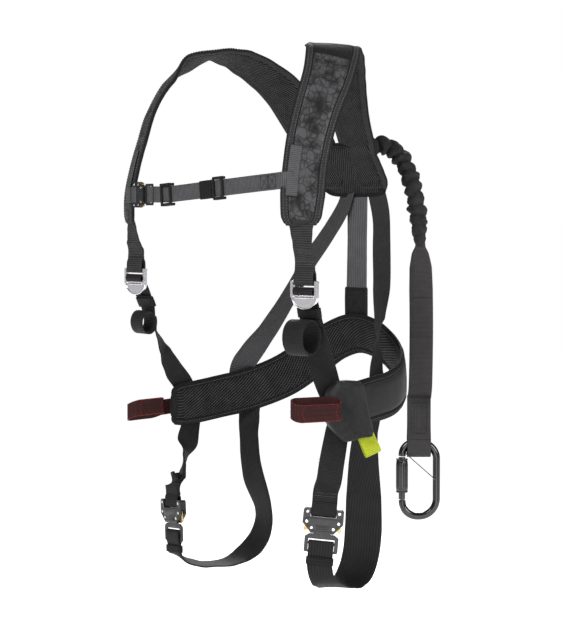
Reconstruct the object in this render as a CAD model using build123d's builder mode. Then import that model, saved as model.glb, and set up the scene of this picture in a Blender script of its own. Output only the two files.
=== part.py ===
from build123d import *
from math import cos, pi, radians, sin
import os

# Full-body safety harness vest, worn shape. Millimetres, +Z up, the wearer faces -Y,
# the wearer's left is +X. The origin is midway between the shoulder tops.
os.makedirs("parts", exist_ok=True)

# ---- driving dimensions ----
webbing_width = 38.0
webbing_thick = 2.0
chest_width = 25.0
pad_thick = 9.0
left_pad_azimuth = 45
right_pad_azimuth = -30
panel_thick = 8.0
eye_inset = 0.3
bungee_diameter = 30.0
loop_wall = 2.4
carabiner_rod = 6.0
gate_rod = 5.5
sleeve_radius = 10.0
rivet_radius = 1.5
press_hole_play = 0.05
running_play = 0.06

# ---- strap and pad stations: x, y, z, azimuth and elevation of the outward face, width, thickness ----
shoulder_stations = [
    (188, -131, -275, 45, 0, 44, 8),
    (189, -132, -262, 45, 0, 58, 9),
    (190, -130, -230, 45, 0, 64, 9),
    (187, -121, -185, 45, 2, 64, 9),
    (184, -108, -143, 47, 5, 66, 9),
    (183, -91, -100, 48, 8, 68, 9),
    (176, -62, -54, 50, 18, 74, 9),
    (157, -32, -19, 58, 45, 80, 9),
    (134, -7, -7, 80, 84, 84, 9),
    (118, 18, -10, 160, 74, 86, 9),
    (104, 39, -19, 165, 60, 86, 9),
    (86, 63, -37, 168, 50, 87, 9),
    (69, 88, -62, 168, 42, 88, 9),
    (55, 113, -100, 170, 34, 88, 9),
    (47, 136, -140, 172, 32, 84, 9),
    (43, 148, -160, 174, 32, 78, 9),
]
belt_stations = [
    (187, -47, -549, 90, 0, 46, 10),
    (189, -40, -548, 90, 0, 60, 12),
    (192, -18, -544, 90, 0, 68, 12),
    (193, 20, -538, 92, 0, 68, 12),
    (188, 64, -532, 100, 0, 68, 12),
    (168, 112, -518, 125, 2, 68, 12),
    (130, 152, -498, 145, 6, 68, 12),
    (86, 176, -476, 160, 10, 66, 12),
    (42, 188, -459, 172, 12, 64, 12),
    (0, 190, -453, 180, 12, 64, 12),
    (-42, 186, -466, -172, 12, 64, 12),
    (-86, 174, -496, -160, 8, 66, 12),
    (-128, 152, -527, -145, 5, 68, 12),
    (-166, 112, -549, -125, 0, 68, 12),
    (-186, 64, -559, -100, 0, 68, 12),
    (-192, 20, -565, -92, 0, 68, 12),
    (-192, -20, -568, -90, 0, 66, 12),
    (-189, -38, -569, -90, 0, 58, 12),
    (-187, -44, -569, -90, 0, 46, 10),
]
spine_stations = [
    (2, 190, -214, 180, 0, 45, 2.2),
    (1, 191, -300, 180, 0, 42, 2.2),
    (0, 190, -425, 180, 0, 45, 2.2),
]
back_left_stations = [
    (38, 192, -212, 178, 0, 38, 2),
    (57, 186, -260, 180, 0, 38, 2),
    (75, 168, -310, 182, 0, 38, 2),
    (92, 150, -370, 180, 0, 38, 2),
    (108, 128, -428, 160, 0, 38, 2),
    (118, 114, -450, 135, 0, 38, 2),
    (130, 100, -476, 105, 0, 38, 2),
    (146, 80, -503, 92, 0, 38, 2),
    (158, 66, -530, 90, 0, 38, 2),
]
back_right_stations = [
    (-16, 191, -214, 165, 0, 38, 2),
    (-27, 188, -248, 162, 0, 38, 2),
    (-49, 180, -286, 162, 0, 38, 2),
    (-85, 166, -340, 165, 0, 38, 2),
    (-113, 149, -396, 170, 0, 38, 2),
    (-141, 127, -452, 180, 0, 38, 2),
    (-165, 109, -492, -150, 0, 38, 2),
    (-179.5, 104, -515, -122, 0, 38, 2),
    (-180.4, 102.6, -545, -118, 0, 38, 2),
]
side_left_stations = [
    (186, -116, -380, 2, 0, 38, 2),
    (187, -109, -410, 8, 0, 38, 2),
    (188, -99, -445, 20, 0, 38, 2),
    (189, -86, -485, 42, 0, 38, 2),
    (190, -72, -518, 62, 0, 38, 2),
    (194, -54, -548, 82, 0, 38, 2),
]
side_right_stations = [
    (-184, -116, -371, -2, 0, 38, 2),
    (-183.5, -101, -398, -8, 0, 38, 2),
    (-183, -92, -427, -20, 0, 38, 2),
    (-182.5, -82, -449, -38, 0, 38, 2),
    (-182.5, -70, -471, -50, 0, 38, 2),
    (-185, -57, -490, -70, 0, 38, 2),
    (-194, -34, -512, -88, 0, 38, 2),
    (-198.8, -8, -536, -91, 0, 38, 2),
    (-198.8, 4, -556, -91, 0, 38, 2),
]
thigh_left_stations = [
    (196.3, -48, -530, 86, 0, 38, 2),
    (195, -52, -552, 82, 0, 38, 2),
    (191, -58, -585, 62, 0, 38, 2),
    (184, -62, -630, 50, 0, 38, 2),
    (179, -62, -655, 45, 0, 38, 4.4),
]
thigh_right_stations = [
    (-198.8, 10, -566, -91, 0, 38, 2),
    (-197.5, 7, -600, -94, 0, 38, 2),
    (-192, -5, -626, -110, 0, 38, 2),
    (-187, -16, -650, -52, 0, 38, 2),
    (-182, -26, -672, -30, 0, 38, 4.4),
    (-177, -37, -694, -20, 0, 38, 4.4),
]
seat_left_stations = [
    (157, -53, -807, 40, -35, 38, 2.4),
    (152, -33, -819, 40, -62, 42, 2.4),
    (146, -6, -825, 40, -88, 50, 2.4),
    (140, 22, -822, 220, -65, 54, 2.4),
    (134, 46, -808, 220, -35, 56, 2.4),
    (128, 64, -782, 224, -12, 57, 2.4),
    (125, 72, -750, 225, 0, 58, 2.4),
    (124, 74, -700, 225, 0, 55, 2.4),
    (124, 74, -640, 225, 0, 46, 2.4),
    (131, 71, -595, 232, 0, 38, 2.4),
    (146, 68, -560, 254, 0, 38, 2.4),
    (157, 66, -533, 268, 0, 38, 2.4),
]
seat_right_stations = [
    (-163, -44, -813, -30, -35, 38, 2.4),
    (-158, -22, -822, -35, -60, 40, 2.4),
    (-152, 8, -827, -40, -85, 46, 2.4),
    (-142, 40, -826, 170, -65, 50, 2.4),
    (-132, 64, -814, 170, -35, 54, 2.4),
    (-120, 80, -795, 168, -15, 55, 2.4),
    (-112, 88, -768, 166, 0, 55, 2.4),
    (-114, 90, -738, 164, 0, 55, 2.4),
    (-136, 87, -682, 175, 0, 52, 2.4),
    (-157, 100, -633, -178, 0, 44, 2.4),
    (-170.5, 113.5, -592, -160, 0, 38, 2.4),
    (-173, 116, -562, -132, 0, 38, 2.4),
]
bungee_route = [
    (8, 160, -168),
    (32, 198, -144),
    (56, 222, -156),
    (73, 233, -187),
    (85, 236, -226),
    (93, 236, -266),
    (99, 234, -308),
]
tether_stations = [
    (99, 234, -308, 45, 0, 16, 7),
    (99, 234, -320, 45, 0, 26, 4),
    (99.5, 234.5, -345, 45, 0, 36, 2.4),
    (100, 235, -380, 45, 0, 38, 2.4),
    (100, 236, -450, 45, 0, 38, 2.4),
    (99, 235, -540, 45, 0, 38, 2.4),
    (98.5, 233.5, -556, 45, 0, 38, 4.4),
]


# ---- shared helpers ----
def facing(azimuth, elevation):
    level = cos(radians(elevation))
    return Vector(sin(radians(azimuth)) * level, -cos(radians(azimuth)) * level, sin(radians(elevation)))


def mirrored(stations):
    return [(-s[0], s[1], s[2], -s[3], s[4], s[5], s[6]) for s in stations]


def turned_in(stations, azimuth):
    # the front half of a pad, turned no further out than azimuth
    front = -50
    return [(*s[:3], max(s[3], azimuth) if s[1] < front else s[3], *s[4:]) for s in stations]


def hardware_plane(origin, azimuth, roll):
    outward = facing(azimuth, 0)
    across = Vector(0, 0, 1).cross(outward)
    turned = across * cos(radians(roll)) + Vector(0, 0, 1) * sin(radians(roll))
    return Plane(origin=origin, x_dir=turned, z_dir=outward)


def on_hardware(place, up, azimuth, width, thick, out=0.0):
    point = place.from_local_coords(Vector(0, up, out))
    return (point.X, point.Y, point.Z, azimuth, 0, width, thick)


def station_planes(stations):
    planes = []
    for i, s in enumerate(stations):
        before = Vector(*stations[max(i - 1, 0)][:3])
        after = Vector(*stations[min(i + 1, len(stations) - 1)][:3])
        along = after - before
        across = along.cross(facing(s[3], s[4]))
        planes.append(Plane(origin=s[:3], x_dir=across, z_dir=along))
    return planes


def save(builder, name):
    builder.part.label = name
    export_step(builder.part, "parts/" + name + ".step")


def ribbon(stations, name):
    with BuildPart() as strap:
        for place, s in zip(station_planes(stations), stations):
            with BuildSketch(place):
                Rectangle(s[5], s[6])
        loft(ruled=True)
    save(strap, name)


def edge_plane(place):
    # sketch x runs up the strap, sketch y runs outward, the sketch faces across the strap
    return Plane(origin=place.origin, x_dir=place.y_dir, z_dir=place.x_dir)


def ribbon_with_bight(stations, place, bar, leg_end, inner, thick, width, name):
    middle = (bar + leg_end) / 2
    reach = abs(leg_end - bar)
    with BuildPart() as strap:
        for station_place, s in zip(station_planes(stations), stations):
            with BuildSketch(station_place):
                Rectangle(s[5], s[6])
        loft(ruled=True)
        with BuildSketch(edge_plane(place)):
            with Locations((bar, 0)):
                Circle(inner + thick)
            with Locations((middle, 0)):
                Rectangle(reach, 2 * (inner + thick))
            with Locations((bar, 0)):
                Circle(inner, mode=Mode.SUBTRACT)
            with Locations((middle, 0)):
                Rectangle(reach + 0.2, 2 * inner, mode=Mode.SUBTRACT)
        extrude(amount=width / 2 - eye_inset, both=True)
    save(strap, name)


def band_ring(place, inner_wide, inner_deep, wall, tall, name):
    # a closed rectangular ring round a strap, its axis up the strap
    with BuildPart() as ring:
        base = Plane(origin=place.origin, x_dir=place.x_dir, z_dir=place.y_dir).offset(-tall / 2)
        with BuildSketch(base):
            RectangleRounded(inner_wide + 2 * wall, inner_deep + 2 * wall, wall)
            Rectangle(inner_wide, inner_deep, mode=Mode.SUBTRACT)
        extrude(amount=tall)
    save(ring, name)


# ---- shoulder pads, yoke, spine and belt ----
ribbon(shoulder_stations, "shoulder_pad_left")
ribbon(turned_in(mirrored(shoulder_stations), right_pad_azimuth), "shoulder_pad_right")

yoke_place = Plane(origin=(0, 167, -188), x_dir=(-1, 0, 0), z_dir=(0, 0.847, 0.531))
yoke_half = [(48, -49), (64, -42), (71, -20), (58, 30), (30, 46)]
yoke_outline = yoke_half + [(-x, y) for x, y in reversed(yoke_half)]
with BuildPart() as back_panel:
    with BuildSketch(yoke_place.offset(-panel_thick / 2)):
        Polygon(*yoke_outline, align=None)
    extrude(amount=panel_thick)
save(back_panel, "back_panel")

with BuildPart() as tether_anchor:
    with BuildSketch(yoke_place.offset(panel_thick / 2 + 0.2)):
        with Locations((-6, 14)):
            RectangleRounded(44, 36, 5)
    extrude(amount=2.4)
save(tether_anchor, "tether_anchor")

ribbon(spine_stations, "spine_strap")
ribbon(belt_stations, "waist_belt")
ribbon(back_left_stations, "back_webbing_left")
ribbon(back_right_stations, "back_webbing_right")

# ---- crescent flap on the front of each pad ----
flap_edge = [(-15, 46), (-18, 43), (-6, 16), (-6, -8), (-19, -44)]
flap_edge += [(-15, -48), (2, -26), (8, -4), (7, 14), (-3, 34)]


def crescent(side, azimuth, name):
    place = hardware_plane((side * 190.8, -127.6, -196), azimuth, side * -2.5).offset(pad_thick / 2 + 3.4)
    with BuildPart() as flap:
        with BuildSketch(place):
            with BuildLine():
                Polyline(*[(side * x, y) for x, y in flap_edge], close=True)
            make_face()
        extrude(amount=2.6)
    save(flap, name)


crescent(1, left_pad_azimuth, "pad_flap_left")
crescent(-1, right_pad_azimuth, "pad_flap_right")


# ---- quick buckles: body, rivets, two levers, tongue with its bar; sizes scale with the webbing ----
rivet_spots = [(24, 13), (24, -2), (16.5, -11), (-24, 13), (-24, -2), (-16.5, -11)]
lever_shape = [(14, -1), (20.8, 1.2), (26.6, 1.2), (27.6, -4), (27.2, -10), (28.5, -14.8)]
lever_shape += [(26.5, -16.6), (22.5, -15.5), (20.6, -8), (20, -4.6), (14, -4.2)]
housing_half = [(30, 15.5), (27.5, 18)]
nose_half = [(-30.5, -4), (-17, -19)]
pawl_shape = [(9, 1), (13, -3), (13, -21), (-13, -21), (-13, -3), (-9, 1)]
tongue_half = [(19, -20.5), (25.5, -25), (25.5, -47), (24, -48.5)]


def scaled(points, scale, flip=1):
    return [(flip * x * scale, y * scale) for x, y in points]


def both_sides(half):
    return half + [(-x, y) for x, y in reversed(half)]


def buckle(place, scale, name):
    s = scale
    outline = both_sides(housing_half) + both_sides(nose_half)
    with BuildPart() as body:
        with BuildSketch(place.offset(-5.5 * s)):
            Polygon(*scaled(outline, s), align=None)
        extrude(amount=11 * s)
        with BuildSketch(place.offset(-2 * s)):
            with Locations((0, -9.2 * s)):
                Rectangle(66 * s, 23.6 * s)
        extrude(amount=4 * s, mode=Mode.SUBTRACT)
        with BuildSketch(place.offset(-6 * s)):
            with Locations((0, 7 * s)):
                Rectangle(39.4 * s, 4.2 * s)
        extrude(amount=12 * s, mode=Mode.SUBTRACT)
        for start in (2 * s, -5.6 * s):
            with BuildSketch(place.offset(start)):
                with Locations((0, 14 * s)):
                    Rectangle(39.4 * s, 10.2 * s)
            extrude(amount=3.6 * s, mode=Mode.SUBTRACT)
        with BuildSketch(place.offset(-6 * s)):
            with Locations(*scaled(rivet_spots, s)):
                Circle(rivet_radius * s + press_hole_play)
        extrude(amount=12 * s, mode=Mode.SUBTRACT)
    save(body, name + "_body")

    with BuildPart() as rivets:
        with BuildSketch(place.offset(-6.3 * s)):
            with Locations(*scaled(rivet_spots, s)):
                Circle(rivet_radius * s)
        extrude(amount=12.6 * s)
        for start in (-6.4 * s, 5.5 * s):
            with BuildSketch(place.offset(start)):
                with Locations(*scaled(rivet_spots, s)):
                    Circle(2.3 * s)
            extrude(amount=0.9 * s)
    save(rivets, name + "_rivets")

    for flip, end in ((1, "a"), (-1, "b")):
        with BuildPart() as lever:
            with BuildSketch(place.offset(-1.65 * s)):
                Polygon(*scaled(lever_shape, s, flip), align=None)
                with Locations((flip * 24 * s, -2 * s)):
                    Circle(rivet_radius * s + running_play, mode=Mode.SUBTRACT)
            extrude(amount=3.3 * s)
        save(lever, name + "_lever_" + end)

    with BuildPart() as tongue:
        with BuildSketch(place.offset(-1.65 * s)):
            Polygon(*scaled(pawl_shape, s), align=None)
            Polygon(*scaled(both_sides(tongue_half), s), align=None)
            with Locations((0, -36.5 * s)):
                Rectangle(39.4 * s, 17 * s, mode=Mode.SUBTRACT)
        extrude(amount=3.3 * s)
        with BuildSketch(edge_plane(place).offset(-21.5 * s)):
            with Locations((-34.5 * s, 0)):
                Circle(2.2 * s)
        extrude(amount=43 * s)
    save(tongue, name + "_tongue")


leg_left_place = hardware_plane((164.5, -59.5, -717), 40, -5)
leg_right_place = hardware_plane((-170, -57.5, -735), -11, 3)
chest_place = hardware_plane((-145, -150, -229), 0, 90.5)
chest_scale = chest_width / webbing_width
buckle(leg_left_place, 1.0, "leg_buckle_left")
buckle(leg_right_place, 1.0, "leg_buckle_right")
buckle(chest_place, chest_scale, "chest_buckle")


# ---- leg webbing: upper strap to the buckle body, lower strap from the tongue round the thigh ----
def leg_webbing(place, azimuth, upper, lower, side):
    above = [on_hardware(place, 28, azimuth, 38, 5.0), on_hardware(place, 19.5, azimuth, 38, 9.4)]
    ribbon_with_bight(upper + above, place, 10, 21, 2.4, webbing_thick, 38, "leg_webbing_upper_" + side)
    below = [
        on_hardware(place, -50.5, azimuth, 38, 9.8),
        on_hardware(place, -55.5, azimuth, 38, 4.8),
        on_hardware(place, -66, azimuth, 38, 4.4),
    ]
    ribbon_with_bight(below + lower, place, -34.5, -52, 2.6, webbing_thick, 38, "leg_webbing_seat_" + side)
    keeper_origin = place.from_local_coords(Vector(0, -61, 0))
    keeper_place = Plane(origin=keeper_origin, x_dir=place.x_dir, z_dir=place.z_dir)
    band_ring(keeper_place, 39, 5.8, 1.4, 11, "leg_keeper_" + side)


leg_webbing(leg_left_place, 40, thigh_left_stations, seat_left_stations, "left")
leg_webbing(leg_right_place, -11, thigh_right_stations, seat_right_stations, "right")


# ---- chest strap ----
near_strap = [
    on_hardware(chest_place, -51 * chest_scale, 0, 25, 9.8 * chest_scale),
    on_hardware(chest_place, -56 * chest_scale, 0, 25, 3.2),
    (-70, -151.2, -228.5, 0, 0, 25, 3.2),
    (-60, -151.5, -227.5, 0, 0, 25, 1.4),
    (118, -150.5, -213, 0, 0, 25, 1.4),
    (123, -150.5, -212.6, 0, 0, 25, 2.8),
    (156, -151.6, -210.2, 5, 0, 25, 2.8),
    (164, -152.4, -209.6, 15, 0, 25, 1.4),
    (172, -150.5, -209, 38, 0, 25, 1.4),
    (182, -141.5, -208.4, 45, 0, 25, 1.4),
]
chest_fold = chest_scale * webbing_thick
near_loop = [length * chest_scale for length in (-34.5, -52, 2.6)]
ribbon_with_bight(near_strap, chest_place, *near_loop, chest_fold, chest_width, "chest_webbing_left")
far_strap = [
    (-191, -136.8, -229.5, -30, 0, 25, 1.4),
    (-179, -143.7, -229.5, -30, 0, 25, 1.4),
    (-169.5, -149.4, -229.4, -22, 0, 25, 2.4),
    on_hardware(chest_place, 28 * chest_scale, 0, 25, 3.2),
    on_hardware(chest_place, 19.5 * chest_scale, 0, 25, 9.4 * chest_scale),
]
far_loop = [length * chest_scale for length in (10, 21, 2.4)]
ribbon_with_bight(far_strap, chest_place, *far_loop, chest_fold, chest_width, "chest_webbing_right")

strap_slope = Vector(178, 1, 14.5)
slide_axis = strap_slope.normalized()


def chest_plane(along_x):
    start = Vector(-60, -151.5, -227.5)
    centre = start + strap_slope * ((along_x + 60) / 178)
    return Plane(origin=centre, x_dir=slide_axis, z_dir=facing(0, 0))


def strap_slide(place, strap_deep, spread, name):
    rod = 1.25
    rod_height = strap_deep / 2 + 0.35 + rod
    with BuildPart() as slide:
        for edge in (-15.2, 15.2):
            with BuildSketch(place.offset(-rod_height - rod)):
                with Locations((0, edge)):
                    RectangleRounded(spread + 2 * rod, 4.4, 1.2)
            extrude(amount=2 * (rod_height + rod))
        across = Plane(origin=place.origin, x_dir=place.x_dir, z_dir=place.y_dir).offset(-14)
        # sketch y points at the wearer: the end rods lie in front of the strap, the middle one behind
        for along, height in ((-spread / 2, -rod_height), (0, rod_height), (spread / 2, -rod_height)):
            with BuildSketch(across):
                with Locations((along, height)):
                    Circle(rod)
            extrude(amount=28)
    save(slide, name)


strap_slide(chest_plane(-79).offset(-0.4), 4.4, 20, "chest_triglide")
strap_slide(chest_plane(36), 1.4, 19, "chest_slider")
keeper_centre = chest_plane(8)
chest_band = Plane(origin=keeper_centre.origin, x_dir=keeper_centre.y_dir, z_dir=facing(0, 0))
band_ring(chest_band, 26, 2.4, 1.2, 26, "chest_keeper")


# ---- front adjusters: frame with a D plate and bar, webbing roll, keeper and rolled tail ----
def adjuster(place, azimuth, upper, side):
    loop = [on_hardware(place, 40, azimuth, 38, 5.0), on_hardware(place, 31.5, azimuth, 38, 10.8)]
    ribbon_with_bight(upper + loop, place, 20, 33, 2.9, 2.2, 38, "front_webbing_" + side)
    with BuildPart() as frame:
        with BuildSketch(place.offset(-1.5)):
            Ellipse(26, 19.5)
            with Locations((0, 10)):
                Rectangle(60, 20, mode=Mode.SUBTRACT)
        extrude(amount=3)
        for edge in (-23.6, 23.6):
            with BuildSketch(place.offset(-1.5)):
                with Locations((edge, 10)):
                    Rectangle(4.8, 24)
            extrude(amount=5)
        with BuildSketch(edge_plane(place).offset(-26)):
            with Locations((20, 0)):
                Circle(2.5)
        extrude(amount=52)
        with BuildSketch(edge_plane(place).offset(-24)):
            with Locations((7, 0.8)):
                Circle(2.2)
        extrude(amount=48)
    save(frame, "adjuster_frame_" + side)
    with BuildPart() as roll:
        with BuildSketch(edge_plane(place).offset(-19)):
            with Locations((7, 0.8)):
                Circle(6.4)
                Circle(2.25, mode=Mode.SUBTRACT)
        extrude(amount=38)
    save(roll, "adjuster_roll_" + side)


adjuster_left_place = hardware_plane((186, -121, -378), 2, 0)
adjuster_right_place = hardware_plane((-184, -123, -367), -4, 0)
front_left = [
    (188, -131, -264, 40, 0, 38, 2),
    (188.5, -131, -284, 12, 0, 38, 2),
    (188, -129, -300, 2, 0, 38, 2),
    (187.5, -127, -308, 2, 0, 38, 4.4),
]
front_right = [
    (-187.5, -131, -264, -30, 0, 38, 2),
    (-185, -130.5, -284, -20, 0, 38, 2),
    (-184, -129, -298, -14, 0, 38, 2),
    (-183.8, -127.5, -306, -8, 0, 38, 4.4),
]
adjuster(adjuster_left_place, 2, front_left, "left")
adjuster(adjuster_right_place, -4, front_right, "right")
ribbon(side_left_stations, "side_webbing_left")
ribbon(side_right_stations, "side_webbing_right")


def tilted_plane(origin, azimuth, elevation):
    outward = facing(azimuth, elevation)
    return Plane(origin=origin, x_dir=Vector(0, 0, 1).cross(outward), z_dir=outward)


band_ring(tilted_plane((186.7, -112.4, -402.5), 6, -13), 39, 6.2, 1.2, 14, "side_keeper_left")
band_ring(tilted_plane((-183.6, -102.8, -398), -8, -24), 39, 6.4, 1.2, 16, "side_keeper_right")


tail_wall = 3.2


def rolled_tail(tail, centre, deep, tall, azimuth, name):
    outward = facing(azimuth, 0)
    hub = Plane(origin=centre, x_dir=outward, z_dir=outward.cross(Vector(0, 0, 1)))
    with BuildPart() as coil:
        with BuildSketch(hub.offset(-webbing_width / 2)):
            Ellipse(deep, tall)
            Ellipse(deep - tail_wall, tall - tail_wall, mode=Mode.SUBTRACT)
        extrude(amount=webbing_width)
        for place, p in zip(station_planes(tail), tail):
            with BuildSketch(place):
                Rectangle(p[5], p[6])
        loft(ruled=True)
    save(coil, name)


tail_left = [
    (186.6, -114.8, -393, 5, 0, 38, 1.8),
    (187, -111.2, -410, 8, 0, 38, 1.8),
    (187.4, -107.8, -424, 9, 0, 38, 1.8),
]
tail_right = [
    (-183.8, -109.6, -388, -6, 0, 38, 1.8),
    (-183.5, -100.4, -408, -12, 0, 38, 1.8),
    (-183.2, -97, -419, -14, 0, 38, 1.8),
]
rolled_tail(tail_left, (186.5, -128.4, -438), 24, 28, 6, "rolled_tail_left")
rolled_tail(tail_right, (-183, -108.6, -430), 15, 20, -12, "rolled_tail_right")


# ---- side loops on the hips ----
def side_loop(centre, angle, between, name):
    with BuildPart() as loop:
        with BuildSketch(Plane.XY.offset(centre[2] - 13.5)):
            with Locations(Location((centre[0], centre[1], 0), (0, 0, angle))):
                SlotCenterToCenter(between, 22)
                SlotCenterToCenter(between, 22 - 2 * loop_wall, mode=Mode.SUBTRACT)
        extrude(amount=27)
    save(loop, name)


side_loop((217, -130, -542), 74, 60, "side_loop_left")
side_loop((-206.3, -84, -572), 97.5, 56, "side_loop_right")

# ---- hip pouch with its flap and the stowed relief strap ----
pouch_place = hardware_plane((219, -61, -549), 58, 0)
pouch_outline = [(-38, 29), (-19, 48), (13, 48), (19, 42), (38, -31)]
pouch_outline += [(34, -37), (-2, -48), (-14, -44), (-40, -12)]
pouch_flap_outline = [(-17, 47), (12, 47), (18, 41), (34, -22), (4, -38), (-22, -8)]
strap_way = hardware_plane(pouch_place.from_local_coords(Vector(16, -15, 0)), 58, 23)
with BuildPart() as pouch_body:
    with BuildSketch(pouch_place.offset(-13)):
        Polygon(*pouch_outline, align=None)
    extrude(amount=26)
    with BuildSketch(strap_way.offset(-4.5)):
        with Locations((0, -6)):
            Rectangle(27, 60)
    extrude(amount=9, mode=Mode.SUBTRACT)
save(pouch_body, "pouch_body")
with BuildPart() as pouch_flap:
    with BuildSketch(pouch_place.offset(13.4)):
        Polygon(*pouch_flap_outline, align=None)
    extrude(amount=2)
save(pouch_flap, "pouch_flap")
with BuildPart() as pouch_tab:
    with BuildSketch(strap_way.offset(-3)):
        with Locations((0, -4)):
            Rectangle(24, 48)
    extrude(amount=6)
    with BuildSketch(edge_plane(strap_way).offset(-12.5)):
        with Locations((-42, 0)):
            SlotCenterToCenter(12, 13)
            SlotCenterToCenter(12, 9, mode=Mode.SUBTRACT)
        with Locations((-29, 0)):
            Rectangle(5, 8.4)
    extrude(amount=25)
save(pouch_tab, "pouch_tab")

# ---- tether: gathered bungee part, then flat webbing with an eye round the carabiner ----
route = [Vector(*p) for p in bungee_route]
radii = []
for i in range(1, len(route) - 1):
    before = route[i] - route[i - 1]
    after = route[i + 1] - route[i]
    half_turn = radians(before.get_angle(after) / 2)
    radii.append(0.45 * min(before.length, after.length) * cos(half_turn) / sin(half_turn))
print("bungee radii", [round(r, 1) for r in radii])
with BuildPart() as tether_bungee:
    with BuildLine() as bungee_line:
        FilletPolyline(*route, radius=radii)
    with BuildSketch(Plane(origin=route[0], z_dir=route[1] - route[0])):
        Circle(bungee_diameter / 2)
    sweep()
save(tether_bungee, "tether_bungee")
bungee_length = sum(edge.length for edge in bungee_line.line.edges())
section = pi * bungee_diameter ** 2 / 4
print("bungee length", bungee_length, "volume ratio", tether_bungee.part.volume / section / bungee_length)

clip_place = hardware_plane((98, 233, -687), 45, 0)
eye_outer = [(87, 3.4), (68, 13), (49.5, 13)]
eye_inner = [(82, 0.4), (67.5, 11), (49.5, 11)]
with BuildPart() as tether_webbing:
    end = [on_hardware(clip_place, 91, 45, 38, 4.4), on_hardware(clip_place, 86, 45, 38, 7.2, 0)]
    stations = tether_stations + end
    for place, p in zip(station_planes(stations), stations):
        with BuildSketch(place):
            Rectangle(p[5], p[6])
    loft(ruled=True)
    with BuildSketch(edge_plane(clip_place).offset(-16.5)):
        Polygon(*[(x, y) for x, y in eye_outer], *[(x, -y) for x, y in reversed(eye_outer)], align=None)
        with Locations((49.5, 0)):
            Circle(13)
            Circle(11, mode=Mode.SUBTRACT)
        eye_hole = [(x, y) for x, y in eye_inner] + [(x, -y) for x, y in reversed(eye_inner)]
        Polygon(*eye_hole, align=None, mode=Mode.SUBTRACT)
    extrude(amount=38)
save(tether_webbing, "tether_webbing")

# ---- carabiner: x runs across it, y up, the gate on the -x side ----
bow = [(-27, 38), (-25, 59.5), (28.5, 59.5), (28.5, -59.5), (-26.5, -59.5), (-26.5, -34)]
pivot = (-25.5, -44)
with BuildPart() as carabiner_body:
    with BuildLine(clip_place):
        FilletPolyline(*bow, radius=[19, 26, 28, 24])
    start = clip_place.from_local_coords(Vector(-27, 38, 0))
    toward = clip_place.from_local_coords(Vector(-25, 59.5, 0)) - start
    with BuildSketch(Plane(origin=start, z_dir=toward)):
        Circle(carabiner_rod)
    sweep()
    with BuildSketch(clip_place.offset(-2.4)):
        with Locations((-27, -42)):
            Rectangle(18, 17)
    extrude(amount=4.8, mode=Mode.SUBTRACT)
    with BuildSketch(clip_place.offset(-5.4)):
        with Locations(pivot):
            Circle(rivet_radius)
    extrude(amount=10.8)
save(carabiner_body, "carabiner_body")
gate_middle = clip_place.from_local_coords(Vector(-27, 0, 0))
gate_axis = Plane(origin=gate_middle, x_dir=clip_place.x_dir, z_dir=clip_place.y_dir)
with BuildPart() as carabiner_gate:
    with BuildSketch(gate_axis.offset(-32)):
        Circle(gate_rod)
    extrude(amount=68)
    with BuildSketch(clip_place.offset(-2)):
        with Locations((-26.5, -37)):
            Rectangle(7, 13)
        with Locations(pivot):
            Circle(3.8)
            Circle(rivet_radius + running_play, mode=Mode.SUBTRACT)
    extrude(amount=4)
save(carabiner_gate, "carabiner_gate")
with BuildPart() as carabiner_sleeve:
    with BuildSketch(gate_axis.offset(-21)):
        Circle(sleeve_radius)
        Circle(gate_rod + running_play, mode=Mode.SUBTRACT)
    extrude(amount=55)
save(carabiner_sleeve, "carabiner_sleeve")
wire_start = Vector(-21.5, 43, 11.4)
wire_end = Vector(25, 2, 11.4)
wire_from = clip_place.from_local_coords(wire_start)
wire_to = clip_place.from_local_coords(wire_end)
with BuildPart() as carabiner_wire:
    with BuildSketch(Plane(origin=wire_from, z_dir=wire_to - wire_from)):
        Circle(0.8)
    extrude(amount=(wire_end - wire_start).length)
    for foot in (wire_start, wire_end):
        with BuildSketch(clip_place.offset(3.5)):
            with Locations((foot.X, foot.Y)):
                Circle(1.3)
        extrude(amount=8.9)
save(carabiner_wire, "carabiner_wire")
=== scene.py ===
import bpy
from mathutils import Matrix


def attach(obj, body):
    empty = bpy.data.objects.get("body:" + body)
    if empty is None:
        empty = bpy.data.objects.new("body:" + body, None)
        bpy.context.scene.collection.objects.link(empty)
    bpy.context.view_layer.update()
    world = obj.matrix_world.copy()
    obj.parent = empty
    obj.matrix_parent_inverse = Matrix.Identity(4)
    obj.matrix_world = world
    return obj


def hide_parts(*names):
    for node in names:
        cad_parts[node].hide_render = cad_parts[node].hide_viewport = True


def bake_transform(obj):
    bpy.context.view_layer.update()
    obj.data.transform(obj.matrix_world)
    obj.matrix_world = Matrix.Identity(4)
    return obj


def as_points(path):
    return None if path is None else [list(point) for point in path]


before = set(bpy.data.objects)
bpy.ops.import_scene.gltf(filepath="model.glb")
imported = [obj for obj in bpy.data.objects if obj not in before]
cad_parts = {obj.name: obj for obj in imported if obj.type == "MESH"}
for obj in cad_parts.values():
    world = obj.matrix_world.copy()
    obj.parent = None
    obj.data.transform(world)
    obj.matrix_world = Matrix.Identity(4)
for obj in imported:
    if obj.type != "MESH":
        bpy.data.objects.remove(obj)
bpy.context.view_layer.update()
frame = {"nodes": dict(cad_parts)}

import bpy
from math import cos, hypot, pi, radians, sin, sqrt
from mathutils import Vector, noise

# Full-body safety harness vest. Given lengths are millimetres, and MM turns them into metres.
MM = 0.001
nodes = frame["nodes"]
UP = Vector((0, 0, 1))


# ---------------------------------------------------------------- camera
def facing(azimuth, elevation=0):
    level = cos(radians(elevation))
    return Vector((sin(radians(azimuth)) * level, -cos(radians(azimuth)) * level, sin(radians(elevation))))


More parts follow.
